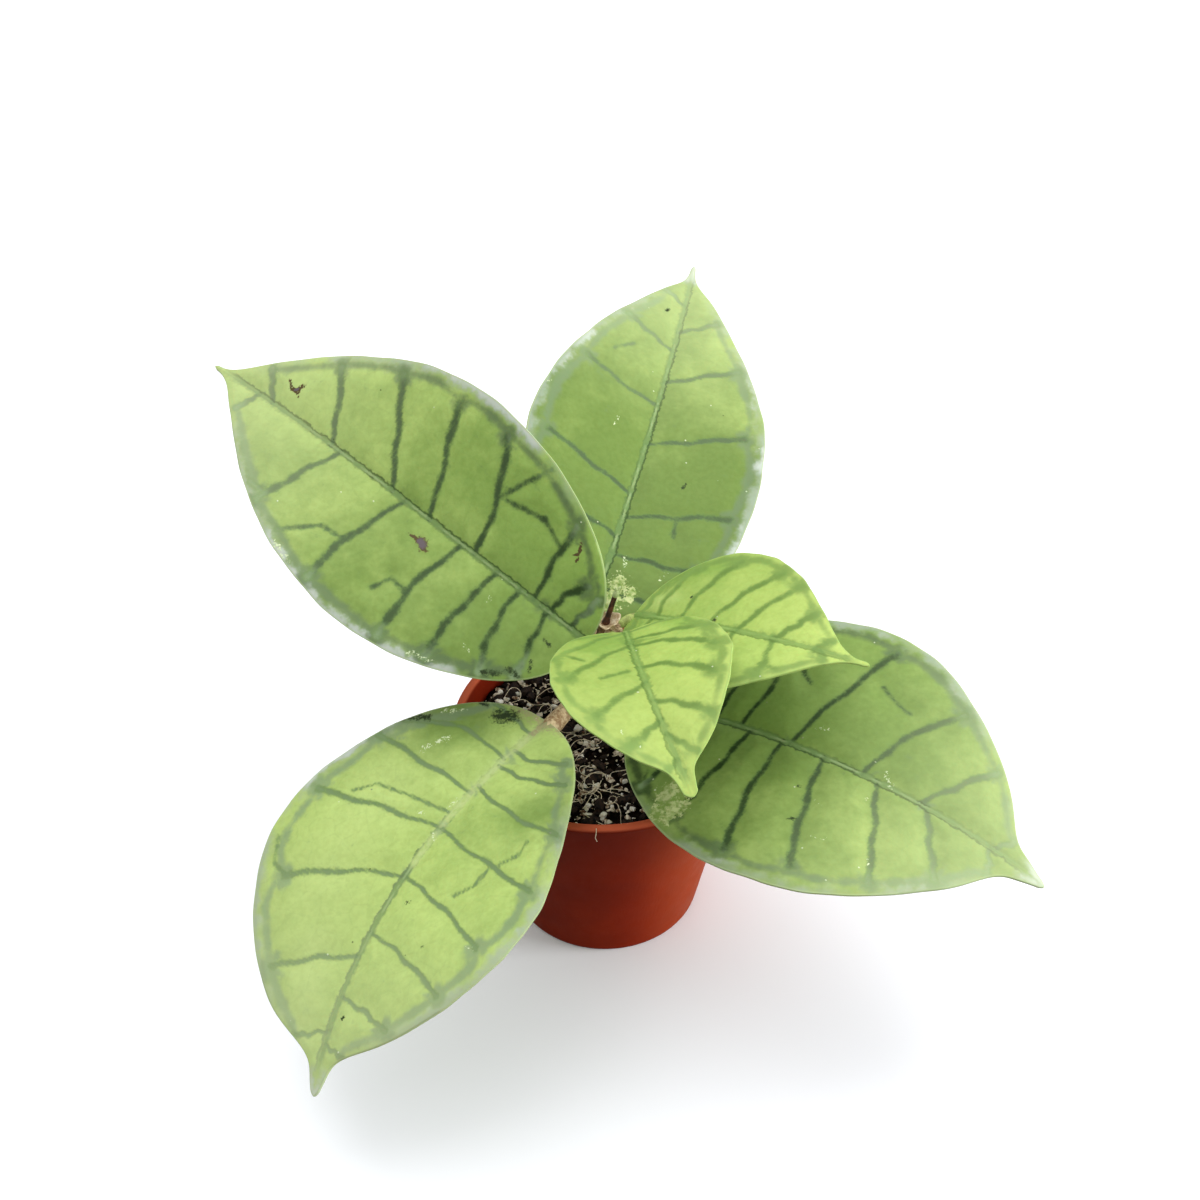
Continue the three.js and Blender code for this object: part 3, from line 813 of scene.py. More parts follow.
def add_blade(name):
    """Makes one leaf's blade, with the numbers that its material reads."""
    leaf = LEAVES[name]
    kind = GROWN if leaf["grown"] else YOUNG
    blade = added(
        bpy.ops.mesh.primitive_grid_add, x_subdivisions=kind["rows"], y_subdivisions=kind["columns"], size=2
    )
    grid = points_of(blade)
    along, across = (grid[:, 0] + 1) / 2, -grid[:, 1]
    place, normal, flat = blade_form(leaf, along, across)
    veins, loops, gap = vein_map(name, leaf, kind, flat)
    margin = distance_to(outline_line(leaf), flat)
    from_midrib = np.abs(flat[:, 1])
    share = flat[:, 0] / leaf["length"]

    swelling = kind["quilting"] * (1 - hump(gap, VALLEY["vein"])) * (1 - hump(margin, VALLEY["margin"]))
    rib_width = RIDGE["width"] * (1 - RIDGE["slimming"] * share)
    groove = RIDGE["groove"] * hump(from_midrib, RIDGE["groove_width"] * rib_width)
    ridge = kind["ridge"] * np.sqrt(1 - share) * (hump(from_midrib, rib_width) - groove)
    wave_height = WAVE["height"] * np.abs(across) ** 3 * np.sin(math.pi * share)
    wave = wave_height * np.sin(math.tau * WAVE["count"] * share + np.sign(across))
    move_points(blade, (place + normal * (swelling + ridge + wave)[:, None]) * MM)

    bold = np.interp(share, [0, 1], leaf["bold"])
    # Painted light and shade: a factor that lightens or darkens the blade towards each corner.
    bright = over_blade(leaf["bright"], flat[:, 1], share)
    numbers = dict(
        vein=veins, loop=loops, margin=margin, across=flat[:, 1], share=share, bold=bold, bright=bright
    )
    for number, values in numbers.items():
        paint(blade, number, values)
    for mark in MARK_KINDS:
        shown = np.zeros(len(flat))
        for points, width in MARKS[name].get(mark, []):
            shown = np.maximum(shown, close_to(np.array(points) * (leaf["length"], 1), flat, width))
        # Depth adds a deeper green towards the blade's corners, partly the leaf's own and partly painted
        # shade.
        if mark == "deep":
            shown += over_blade(leaf["depth"], flat[:, 1], share)
        paint(blade, mark, shown)

    rim = blade.vertex_groups.new(name="thick")
    for index, weight in enumerate(np.clip(margin / RIM_REACH, 0, 1) ** 0.6):
        rim.add([index], float(weight), "REPLACE")
    apply_modifier(
        blade, "SOLIDIFY", thickness=kind["thickness"] * MM, offset=0, vertex_group="thick",
        thickness_vertex_group=kind["rim"], material_offset=1, material_offset_rim=2,
    )
    return blade


# %% [markdown]
# ## The leaves: their finish
#
# The lamina is yellow-green with softly darker clouds, and a waxy bloom veils its far part. Its deeper green
# is partly its own and partly painted shade, and painted light and shade lightens or darkens each blade
# towards its corners. The veins are dark grey-green and turn bluish-grey towards the margin, where a grey
# band runs along parts of the blade; these greys and their pale glints are partly the margin's own and partly
# painted sheen where the margin turns down. A broken pale thread runs down the middle between two dark lines,
# which are darker on the right as painted shade beside the raised midrib. Small specks, scars and stains come
# last.
#
# Clouds of noise in four sizes are added to each number before it is cut off, so that no edge is straight.
# One node group makes all of that from the numbers on the mesh. The grown and the young leaves place the same
# group with their own colours: the young ones are lime with soft veins.

# %% Leaf tones and sizes
COLOUR, NUMBER = "NodeSocketColor", "NodeSocketFloat"
LEAF_TONES = ("Lamina", "Deep", "Vein", "Halo", "Loop", "Rib", "Thread", "Band")
LEAF_LEVELS = ("Vein share", "Loop share", "Rib share", "Band share", "Bloom", "Gloss")
PAINTED = ("vein", "loop", "margin", "across", "share", "bold", "bright", *MARK_KINDS)
CLOUDS = dict(large=16, blotches=3.2, small=1.1, fine=0.4)
CELLS = dict(veinlets=4.5, specks=3.1)
# How far in from the margin the band and its painted glint reach, and from the middle the stripe, the dark
# lines and the thread
REACH = dict(band=2.7, painted_glint=1.7, stripe=1.25, lines=0.7, thread=0.34)
# The pale glint tint is a painted glint on the margin band.
TINTS = dict(
    white=colour(255, 255, 255), grain=colour(243, 244, 238), pale=colour(192, 212, 134),
    painted_glint=colour(198, 206, 196), pale_rib=colour(184, 198, 138), bloom=colour(197, 210, 160),
    light_speck=colour(216, 228, 190), dark_speck=colour(74, 88, 44), dry=colour(158, 150, 110),
    cork=colour(134, 158, 82), cork_crest=colour(192, 202, 142), stain=colour(46, 60, 32),
    scar=colour(88, 74, 46), ash=colour(100, 90, 94), chalk=colour(206, 220, 176),
)
# Each mark: the values between which it fades in, and how much the noise breaks it up
MARK_EDGES = dict(
    dry=(0.3, 1.3, 1.0), cork=(0.5, 0.7, 1.0), stain=(0.4, 1.0, 0.7), scar=(0.4, 0.75, 0.7),
    ash=(0.4, 0.8, 0.4), chalk=(0.9, 1.2, 1.2),
)


def sway(tree, *pairs):
    """A sum of clouds, each taken about 0 and multiplied, which roughens a value before it is cut off."""
    parts = [product(tree, maths(tree, "SUBTRACT", cloud, 0.5), amount) for cloud, amount in pairs]
    return total(tree, *parts)


def leaf_values(tree):
    """The numbers that the mesh carries and the clouds, by name."""
    place = here(tree)
    clouds = {name: noise(tree, place, size, 3) for name, size in CLOUDS.items()}
    numbers = {name: painted(tree, name) for name in PAINTED}
    away = maths(tree, "ABSOLUTE", numbers["across"])
    return SimpleNamespace(place=place, away=away, **clouds, **numbers)


print("a leaf's finish reads", len(PAINTED), "numbers from its mesh")

# %% The lamina and its band


def lamina(tree, given, leaf):
    """Deeper green at the base, in clouds and in marks that are partly painted shade; painted light and
    shade; faint veinlets.
    """
    age = step(tree, leaf.share, 0.0, 0.9, 0.75, 0.0)
    # The marked deeper green is partly painted shade.
    age = total(tree, age, sway(tree, (leaf.large, 1.2), (leaf.blotches, 0.6)), product(tree, leaf.deep, 0.6))
    surface = blend(tree, step(tree, age, 0.0, 1.15), given["Lamina"], given["Deep"])
    # Painted light and shade multiplies the colour here.
    surface = blend(tree, 1.0, surface, leaf.bright, "MULTIPLY")
    surface = blend(tree, product(tree, leaf.pale, 0.4), surface, TINTS["pale"])
    grain = blend(tree, step(tree, leaf.small, 0.3, 0.7), TINTS["grain"], TINTS["white"])
    surface = blend(tree, 1.0, surface, grain, "MULTIPLY")
    scale = 1 / (CELLS["veinlets"] * MM)
    net = put(tree, "ShaderNodeTexVoronoi", leaf.place, None, scale, feature="DISTANCE_TO_EDGE")
    gap = total(tree, net.outputs["Distance"], sway(tree, (leaf.small, 0.1)))
    return blend(tree, step(tree, gap, 0.05, 0.0, 0.0, 0.07), surface, given["Halo"])


def margin_band_and_sheen(tree, given, leaf, surface):
    """A grey band along parts of the margin, partly its own colour and partly painted sheen, with a painted
    glint where strongest.
    """
    uneven = total(tree, leaf.margin, sway(tree, (leaf.blotches, 5), (leaf.small, 1.2)))
    middle_part = product(tree, step(tree, leaf.share, 0.1, 0.28), step(tree, leaf.share, 0.93, 0.75))
    patchy = product(tree, step(tree, leaf.large, 0.34, 0.52), middle_part, 0.8)
    # The grey band is partly the margin's own colour and partly painted sheen where the margin turns down.
    band_and_sheen_parts = maths(tree, "MAXIMUM", patchy, step(tree, leaf.silver, 0.2, 0.8))
    band = product(tree, step(tree, uneven, REACH["band"], 0.1), band_and_sheen_parts, given["Band share"])
    surface = blend(tree, band, surface, given["Band"])
    # Painted glint: a pale strip where the band is strongest.
    strongest = step(tree, leaf.silver, 0.5, 0.95)
    painted_glint = product(tree, step(tree, uneven, REACH["painted_glint"], 0.1), strongest, 0.6)
    return blend(tree, painted_glint, surface, TINTS["painted_glint"])


# %% The veins and the midrib


def vein_lines(tree, given, leaf, surface):
    """Broad smoky loops, and side veins with a soft edge and a dark core, which is returned as well."""
    # The loops take the bluish-grey Loop tone, which is partly painted sheen along the margin.
    smoky = total(tree, leaf.loop, sway(tree, (leaf.large, 1.2), (leaf.blotches, 1.3), (leaf.small, 0.4)))
    loop_tone = blend(tree, product(tree, leaf.bold, leaf.bold, 0.7), given["Loop"], given["Vein"])
    loops = product(tree, step(tree, smoky, 0.25, 1.1), given["Loop share"])
    surface = blend(tree, loops, surface, loop_tone)
    soft = total(tree, leaf.vein, sway(tree, (leaf.small, 0.9), (leaf.blotches, 0.6)))
    halo = product(tree, step(tree, soft, 0.05, 0.85), given["Vein share"])
    surface = blend(tree, halo, surface, given["Halo"])
    ragged = total(tree, leaf.vein, sway(tree, (leaf.fine, 0.4), (leaf.small, 0.65), (leaf.blotches, 1.3)))
    strength = step(tree, leaf.bold, 0.1, 0.6, 0.62, 1.0)
    core = product(tree, step(tree, ragged, 0.22, 1.05), given["Vein share"], strength)
    # Near the margin the dark core turns to the bluish-grey Loop tone, partly painted sheen.
    inside = step(tree, total(tree, leaf.margin, sway(tree, (leaf.blotches, 6))), 1, 5.5)
    dark = blend(tree, product(tree, inside, leaf.bold), given["Loop"], given["Vein"])
    return blend(tree, core, surface, dark), core


def midrib_lines(tree, given, leaf, surface):
    """A smoky stripe down the middle, with dark lines in it that are stronger on the right as painted shade,
    and a broken pale thread.
    """
    body = product(tree, step(tree, leaf.share, 0.975, 0.9), step(tree, leaf.pale, 0.3, 0.9, 1.0, 0.2))
    swing = total(tree, leaf.away, sway(tree, (leaf.small, 1.5), (leaf.blotches, 1.2)))
    slim = step(tree, leaf.share, 0.2, 0.9, 1.0, 0.6)
    stripe = step(tree, maths(tree, "DIVIDE", swing, slim), REACH["stripe"], 0.3)
    surface = blend(tree, product(tree, stripe, body, given["Rib share"]), surface, given["Rib"])
    edge = maths(tree, "ABSOLUTE", maths(tree, "SUBTRACT", swing, REACH["lines"]))
    # The dark lines are stronger on the blade's right side: painted shade beside the raised midrib.
    shaded_side = step(tree, total(tree, leaf.across, sway(tree, (leaf.blotches, 4))), -0.6, 0.6, 0.25, 0.9)
    dark_line = product(tree, step(tree, edge, 0.45, 0.05), shaded_side, body, given["Rib share"])
    dark = blend(tree, step(tree, leaf.bold, 0.0, 0.6, 0.5, 1.0), given["Loop"], given["Vein"])
    surface = blend(tree, dark_line, surface, dark)
    middle = step(tree, total(tree, leaf.away, sway(tree, (leaf.fine, 0.5))), REACH["thread"], 0.08)
    thread = product(tree, middle, step(tree, leaf.blotches, 0.4, 0.6), body, 0.45)
    thread = product(tree, thread, step(tree, leaf.share, 0.95, 0.5))
    surface = blend(tree, thread, surface, given["Thread"])
    pale_rib = product(tree, leaf.pale, step(tree, swing, 1.9, 0.2), step(tree, leaf.small, 0.25, 0.6), 0.6)
    return blend(tree, pale_rib, surface, TINTS["pale_rib"])


# %% Specks, marks and the whole pattern


def specks_and_marks(tree, leaf, surface):
    """Light and dark specks and every painted mark. The light specks are returned as well."""
    cells = put(tree, "ShaderNodeTexVoronoi", leaf.place, None, 1 / (CELLS["specks"] * MM))
    chosen = put(tree, "ShaderNodeSeparateColor", cells.outputs["Color"])
    dot = step(tree, total(tree, cells.outputs["Distance"], sway(tree, (leaf.fine, 0.08))), 0.08, 0.04)
    light_dot = product(tree, dot, step(tree, chosen.outputs[0], 0.8, 0.82))
    dark_dot = product(tree, dot, step(tree, chosen.outputs[1], 0.9, 0.92), 0.7)
    surface = blend(tree, product(tree, light_dot, 0.7), surface, TINTS["light_speck"])
    surface = blend(tree, dark_dot, surface, TINTS["dark_speck"])
    spatter = sway(tree, (leaf.fine, 1.8), (leaf.small, 1.5))
    crust = blend(tree, step(tree, leaf.small, 0.38, 0.62), TINTS["cork"], TINTS["cork_crest"])
    for mark, (low, high, broken) in MARK_EDGES.items():
        shown = getattr(leaf, mark)
        amount = total(tree, shown, product(tree, spatter, broken))
        amount = product(tree, amount, step(tree, shown, 0.02, 0.2))
        tint = crust if mark == "cork" else TINTS[mark]
        surface = blend(tree, step(tree, amount, low, high), surface, tint)
    return surface, light_dot


def leaf_pattern():
    """The pattern of veins, midrib, margin and marks, as colour, roughness and height."""
    tree, given, result = new_group(
        "Leaf pattern",
        [(name, COLOUR) for name in LEAF_TONES] + [(name, NUMBER) for name in LEAF_LEVELS],
        [("Colour", COLOUR), ("Roughness", NUMBER), ("Height", NUMBER)],
    )
    leaf = leaf_values(tree)
    surface = margin_band_and_sheen(tree, given, leaf, lamina(tree, given, leaf))
    surface, core = vein_lines(tree, given, leaf, surface)
    surface = midrib_lines(tree, given, leaf, surface)
    bloom = product(tree, step(tree, leaf.share, 0.4, 0.95), given["Bloom"])
    surface = blend(tree, bloom, surface, TINTS["bloom"])
    surface, light_dot = specks_and_marks(tree, leaf, surface)
    surface = blend(tree, step(tree, leaf.margin, 0.35, 0.1, 0.0, 0.6), surface, given["Thread"])
    set_input(tree, result.inputs["Colour"], surface)
    gloss = total(tree, given["Gloss"], sway(tree, (leaf.blotches, 0.15), (leaf.small, 0.1)))
    set_input(tree, result.inputs["Roughness"], total(tree, gloss, product(tree, core, 0.08)))
    height = total(
        tree, product(tree, leaf.small, 0.3), product(tree, light_dot, 0.6), product(tree, leaf.blotches, 0.6)
    )
    height = maths(tree, "SUBTRACT", height, product(tree, core, 0.35))
    set_input(tree, result.inputs["Height"], height)
    return tree


pattern = leaf_pattern()
print("the leaf pattern has", len(pattern.nodes), "nodes")

# %% Leaf materials


def leaf_top(name, **values):
    """The upper face of a leaf, waxy and slightly see-through."""
    material, tree, shader = new_material(
        name, Subsurface_Weight=0.06, Subsurface_Scale=0.002, IOR=1.4, Specular_IOR_Level=0.18
    )
    look = use_group(tree, pattern, **values)
    finish_shader(tree, shader, look["Colour"], look["Roughness"], look["Height"], 0.1)
    return material


def leaf_underside(name, flesh, ribs):
    """The underside: paler and more matt, with the same veins showing through softly."""
    material, tree, shader = new_material(name, IOR=1.4)
    place = here(tree)
    tone = two_tone(tree, place, 6, 0.35, 0.65, flesh, ribs)
    tone = blend(tree, 0.35, flesh, tone)
    tone = blend(tree, step(tree, painted(tree, "vein"), 0.1, 0.8, 0.0, 0.75), tone, ribs)
    height = noise(tree, place, 0.7, 3)
    finish_shader(tree, shader, tone, 0.62, height, 0.08)
    return material


def leaf_rim(name, edge):
    """The thin edge all round the blade."""
    material, tree, shader = new_material(name, IOR=1.4)
    tone = blend(tree, noise(tree, here(tree), 1.5, 3), edge, colour(150, 160, 110))
    finish_shader(tree, shader, tone, 0.5)
    return material


# The Band grey and the bluish Loop grey are partly painted sheen along the margins.
grown_materials = [
    leaf_top(
        "grown_leaf_top", Lamina=colour(173, 196, 112), Deep=colour(122, 149, 74), Vein=colour(42, 64, 26),
        Halo=colour(102, 130, 70), Loop=colour(128, 150, 110), Rib=colour(104, 132, 78),
        Thread=colour(166, 184, 132), Band=colour(156, 168, 154), Vein_share=1.0, Loop_share=0.85,
        Rib_share=0.8, Band_share=0.9, Bloom=0.3, Gloss=0.5,
    ),
    leaf_underside("grown_leaf_underside", colour(158, 182, 118), colour(112, 142, 84)),
    leaf_rim("grown_leaf_rim", colour(190, 200, 146)),
]
# Here too the Band and Loop tones are partly painted sheen along the margins.
young_materials = [
    leaf_top(
        "young_leaf_top", Lamina=colour(175, 198, 104), Deep=colour(144, 176, 84), Vein=colour(84, 116, 48),
        Halo=colour(124, 154, 74), Loop=colour(122, 152, 78), Rib=colour(110, 142, 72),
        Thread=colour(154, 184, 102), Band=colour(178, 200, 122), Vein_share=0.78, Loop_share=0.7,
        Rib_share=0.75, Band_share=0.2, Bloom=0.05, Gloss=0.48,
    ),
    leaf_underside("young_leaf_underside", colour(172, 200, 112), colour(132, 166, 86)),
    leaf_rim("young_leaf_rim", colour(204, 220, 142)),
]

# %% All six blades
for name, leaf in LEAVES.items():
    blade = add_blade(name)
    finish = grown_materials if leaf["grown"] else young_materials
    hand_over(blade, name + "_blade", finish, name, smooth=70)

# %% [markdown]
# ## The stalks
#
# Each blade stands on a petiole, which leaves its node from a swollen cushion, bends, and runs on under the
# blade as a rib that thins out towards the tip. A bar along a curve is the plainest way to make it: the curve
# has a radius at each point, and becomes a mesh. Then its sides are wrinkled lengthwise.

# %% Stem and stalk sizes
STEM = dict(
    foot=(-0.4, -0.6, 27), soil=43, top=(0.9, 1.5, 70.3), foot_radius=2.1, soil_radius=2.3, top_radius=1.5
)
STEM_NODES = dict(
    lower=dict(height=56, radius=3.1, half_length=1.2, below=2.3),
    middle=dict(height=61, radius=2.1, half_length=0.9, below=1.85),
    upper=dict(height=68, radius=1.9, half_length=0.7, below=1.35),
)
NODE_SHOULDER = 1.4
BRACT = dict(height=68.3, end=(4.1, 1.2, 68.6), base_radius=0.9, end_radius=0.55)
CUSHION = dict(length=3.4, flare=1.1, swelling=0.1, least_climb=-0.2, most_climb=0.45)
STALKS = {
    True: dict(radius=1.75, blade_radius=2.15, rib=1.45, rib_tip=0.45, thickness=0.95, wrinkles=0.22),
    False: dict(radius=0.95, blade_radius=1.1, rib=0.85, rib_tip=0.35, thickness=0.7, wrinkles=0.12),
}
RIB = dict(start=0.02, stop=0.94, steps=46, flare=0.07, slimming=0.6, sunk=0.5, fading=0.72, end_radius=0.1)
PETIOLE = dict(inside=0.8, straight=1.6, pull=0.45, steps=26)
WRINKLE_SIZE = 0.9
GREENING = dict(reach=9, stem_height=60)


def stem_axis(height):
    """The middle of the leaning stem at a height."""
    foot, top = np.array(STEM["foot"]), np.array(STEM["top"])
    return foot + (top - foot) * (height - foot[2]) / (top[2] - foot[2])


def cushion_direction(leaf):
    """The way in which a leaf's cushion leaves the stem."""
    start = stem_axis(STEM_NODES[leaf["node"]]["height"])
    way = np.array(leaf["base"]) - start
    climb = np.clip(way[2] / math.hypot(way[0], way[1]), CUSHION["least_climb"], CUSHION["most_climb"])
    heading = math.radians(leaf["cushion"])
    direction = np.array([math.cos(heading), math.sin(heading), climb])
    return direction / np.linalg.norm(direction)


def bezier(a, b, c, d, count):
    way = np.linspace(0, 1, count)[:, None]
    return (1 - way) ** 3 * a + 3 * (1 - way) ** 2 * way * b + 3 * (1 - way) * way**2 * c + way**3 * d


def wrinkle(piece, depth, size):
    """Pushes the surface in and out by cloudy noise."""
    texture = bpy.data.textures.new("wrinkles", "CLOUDS")
    texture.noise_scale = size * MM
    texture.noise_depth = 2
    apply_modifier(
        piece, "DISPLACE", texture=texture, strength=depth * MM, mid_level=0.5, texture_coords="LOCAL"
    )


def add_stalk(name):
    """The petiole, from inside its cushion to the blade, and the rib under the blade."""
    leaf = LEAVES[name]
    kind = STALKS[leaf["grown"]]
    shares = np.linspace(RIB["start"], RIB["stop"], RIB["steps"])
    points, forward, _, up = midrib(leaf, shares)
    rib_radii = kind["rib"] + (kind["rib_tip"] - kind["rib"]) * shares ** RIB["slimming"]
    rib_radii += (kind["blade_radius"] - kind["rib"]) * np.exp(-shares / RIB["flare"])
    fade = np.interp(shares, [RIB["fading"], RIB["stop"]], [1, 0]) ** 0.8
    rib_radii = RIB["end_radius"] + (rib_radii - RIB["end_radius"]) * fade
    below = kind["thickness"] / 2 * (0.2 + 0.8 * fade) + rib_radii * RIB["sunk"]
    rib = points - up * below[:, None]

    away = cushion_direction(leaf)
    start = stem_axis(STEM_NODES[leaf["node"]]["height"]) + away * (CUSHION["length"] - PETIOLE["inside"])
    straight = start + away * PETIOLE["straight"]
    pull = PETIOLE["pull"] * np.linalg.norm(start - rib[0])
    before_rib = rib[0] - forward[0] * pull
    petiole = bezier(straight, straight + away * pull, before_rib, rib[0], PETIOLE["steps"])[:-1]
    way = np.linspace(0, 1, len(petiole))
    radii = kind["radius"] + (rib_radii[0] - kind["radius"]) * way**2
    radii *= 1 + 0.05 * np.sin(9 * way) * np.sin(math.pi * way)
    path = np.vstack([start, petiole, rib])
    return tube(path, np.concatenate([[radii[0]], radii, rib_radii]), 20)


# %% Stalk material


def bark_pattern():
    """Fine wrinkles in two tones, for stalks and stem."""
    tree, given, result = new_group(
        "Bark pattern", [("Light", COLOUR), ("Dark", COLOUR)], [("Colour", COLOUR), ("Height", NUMBER)]
    )
    place = here(tree)
    drawn_out = put(tree, "ShaderNodeMapping", place, None, None, (1, 1, 0.45)).outputs[0]
    wave = noise(tree, drawn_out, 1.1, 4, 0.65)
    patches = noise(tree, place, 5, 3)
    tone = blend(tree, step(tree, wave, 0.38, 0.62), given["Dark"], given["Light"])
    tone = blend(tree, step(tree, patches, 0.45, 0.7, 0.0, 0.55), tone, given["Dark"])
    set_input(tree, result.inputs["Colour"], tone)
    set_input(tree, result.inputs["Height"], wave)
    return tree


bark = bark_pattern()


def stalk_material(name, light, dark, green):
    """Tan bark that turns green where the stalk runs on as the rib under the blade."""
    material, tree, shader = new_material(name, IOR=1.4)
    look = use_group(tree, bark, Light=light, Dark=dark)
    tone = blend(tree, painted(tree, "greening"), look["Colour"], green)
    finish_shader(tree, shader, tone, 0.6, look["Height"], 0.25)
    return material


stalk_looks = {
    True: stalk_material("grown_stalk", colour(210, 189, 146), colour(142, 112, 74), colour(150, 176, 108)),
    False: stalk_material("young_stalk", colour(180, 196, 112), colour(142, 152, 84), colour(172, 204, 114)),
}

# %% All six stalks
for name, leaf in LEAVES.items():
    stalk = add_stalk(name)
    wrinkle(stalk, STALKS[leaf["grown"]]["wrinkles"], WRINKLE_SIZE)
    points, base = points_of(stalk) / MM, np.array(leaf["base"])
    middle = stem_axis(GREENING["stem_height"])[:2]
    from_base = np.linalg.norm(points - base, axis=1)
    from_stem = np.linalg.norm(points[:, :2] - middle, axis=1)
    past_base = from_stem > np.linalg.norm(base[:2] - middle)
    paint(stalk, "greening", np.clip(from_base / GREENING["reach"], 0, 1) * past_base)
    hand_over(stalk, name + "_petiole", [stalk_looks[leaf["grown"]]], name)

# %% [markdown]
# ## The stem
#
# The stem is short and woody, with three swollen nodes. A cushion grows out of a node for each petiole, and a
# dried bract stands off the upper node. On the plant these flow into each other, so bars for the stem, the
# cushions and the bract are joined, and a voxel Remesh makes one skin over them. A Smooth modifier rounds
# what is left of the joints, and Displace wrinkles it.

# %% The stem
SKIN_ROOM = dict(stem=0.97, cushion=0.96) # leaves room for the wrinkles


def stem_bars():
    """The stem, its cushions and a dried bract as separate bars that pass through each other."""
    heights, radii = [STEM["foot"][2], STEM["soil"]], [STEM["foot_radius"], STEM["soil_radius"]]
    for node in STEM_NODES.values():
        low, high = node["height"] - node["half_length"], node["height"] + node["half_length"]
        heights += [low - NODE_SHOULDER, low, high]
        radii += [node["below"], node["radius"], node["radius"]]
    heights.append(STEM["top"][2])
    radii.append(STEM["top_radius"])
    levels = np.linspace(heights[0], heights[-1], 90)
    radii = np.interp(levels, heights, radii) * SKIN_ROOM["stem"]
    bars = [tube([stem_axis(level) for level in levels], radii, 24)]
    for leaf in LEAVES.values():
        start = stem_axis(STEM_NODES[leaf["node"]]["height"])
        end = start + cushion_direction(leaf) * CUSHION["length"]
        radius = STALKS[leaf["grown"]]["radius"] * SKIN_ROOM["cushion"]
        way = np.linspace(0, 1, 8)
        swelling = CUSHION["swelling"] * np.sin(math.pi * way)
        radii = radius * (CUSHION["flare"] + (1 - CUSHION["flare"]) * way + swelling)
        bars.append(straight_tube(start, end - start, way, radii, 20))
    start = stem_axis(BRACT["height"])
    way = np.linspace(0, 1, 6)
    radii = BRACT["base_radius"] + (BRACT["end_radius"] - BRACT["base_radius"]) * way
    bars.append(straight_tube(start, np.array(BRACT["end"]) - start, way, radii))
    return bars


stem = join(stem_bars())
apply_modifier(stem, "REMESH", mode="VOXEL", voxel_size=0.28 * MM)
apply_modifier(stem, "SMOOTH", factor=0.6, iterations=4)
wrinkle(stem, 0.3, 1.1)
material, tree, shader = new_material("stem_bark", IOR=1.4)
look = use_group(tree, bark, Light=colour(214, 191, 152), Dark=colour(134, 102, 70))
finish_shader(tree, shader, look["Colour"], 0.68, look["Height"], 0.3)
hand_over(stem, "stem_with_nodes", [material], "stem")

# %% [markdown]
# ## The growing tip
#
# On the upper node stands next year's shoot: a thin dark red-brown rod in a pale cup, with a pale green bud
# that has just begun to open. The cup is a grid rolled up into a thin saucer. The rod and the bud are bars
# whose radii swell and narrow.

# %% The growing tip
TIP = dict(lean=(2.4, 0.2, 8.2), lift=0.3, foot_radius=0.8, rod_radius=0.56, neck_radius=0.48, bud_length=2.4)
SCALE_RADII = (0.34, 0.36, 0.36, 0.33, 0.28, 0.2, 0.1)


def add_tip():
    """The rod, and the bud with its two closed scales."""
    lean = np.array(TIP["lean"])
    foot = np.array(STEM["top"]) + (0, 0, TIP["lift"])
    neck = 1 - TIP["bud_length"] / np.linalg.norm(lean)
    way = np.linspace(-0.04, neck + 0.05, 16)
    radii = np.interp(way, [0, 0.12, neck], [TIP["foot_radius"], TIP["rod_radius"], TIP["neck_radius"]])
    rod = straight_tube(foot, lean, way, radii)
    way = np.linspace(neck, 0.9, 10)
    inside = np.linspace(0, 1, 10)
    bar = straight_tube(foot, lean, way, 0.5 + 0.14 * np.sin(math.pi * inside) - 0.12 * inside)
    scales = []
    for side in (-1, 1):
        spread = np.array([0.45 * side, 0.15 * side, 0])
        shares = np.linspace(0, 1, len(SCALE_RADII))
        path = [foot + lean * (0.8 + 0.19 * share) + spread * share**1.5 for share in shares]
        scales.append(tube(path, SCALE_RADII, 12))
    return rod, join([bar, *scales])


rod, bud = add_tip()
material, tree, shader = new_material("shoot_rod", IOR=1.45)
tone = two_tone(tree, here(tree), 1.2, 0.4, 0.7, colour(44, 21, 15), colour(100, 56, 36))
finish_shader(tree, shader, tone, 0.42, noise(tree, here(tree), 0.5, 3), 0.1)
hand_over(rod, "growing_tip_rod", [material], "growing_tip")
material, tree, shader = new_material("shoot_bud", IOR=1.45)
tone = blend(tree, noise(tree, here(tree), 0.8, 3), colour(132, 150, 86), colour(202, 214, 160))
finish_shader(tree, shader, tone, 0.5, noise(tree, here(tree), 0.4, 2), 0.08)
hand_over(bud, "growing_tip_bud", [material], "growing_tip")

# %% The cup round the tip
CUP = dict(foot_radius=0.75, rim_radius=2.5, height=1.3, wall=0.22, sunk=0.3)


def add_cup():
    """A thin saucer with an uneven rim, which the rod stands in."""
    cup = added(bpy.ops.mesh.primitive_grid_add, x_subdivisions=48, y_subdivisions=8, size=2)
    grid = points_of(cup)
    angle, out = (grid[:, 0] + 1) * math.pi, (grid[:, 1] + 1) / 2
    radius = CUP["foot_radius"] + (CUP["rim_radius"] - CUP["foot_radius"]) * out**1.2
    radius *= 1 + 0.1 * out * np.sin(3 * angle + 1) + 0.05 * out * np.sin(7 * angle)
    rise = CUP["height"] * out**1.6 * (1 + 0.25 * np.sin(2 * angle + 0.6) + 0.12 * np.sin(5 * angle))
    points = np.column_stack([radius * np.cos(angle), radius * np.sin(angle), rise - CUP["sunk"]])
    move_points(cup, (points + STEM["top"]) * MM)
    in_edit_mode(MERGE)
    apply_modifier(cup, "SOLIDIFY", thickness=CUP["wall"] * MM, offset=0)
    return cup


cup = add_cup()
material, tree, shader = new_material("cup_skin", IOR=1.4)
look = use_group(tree, bark, Light=colour(238, 224, 192), Dark=colour(186, 160, 120))
finish_shader(tree, shader, look["Colour"], 0.6, look["Height"], 0.15)
hand_over(cup, "growing_tip_cup", [material], "stem")

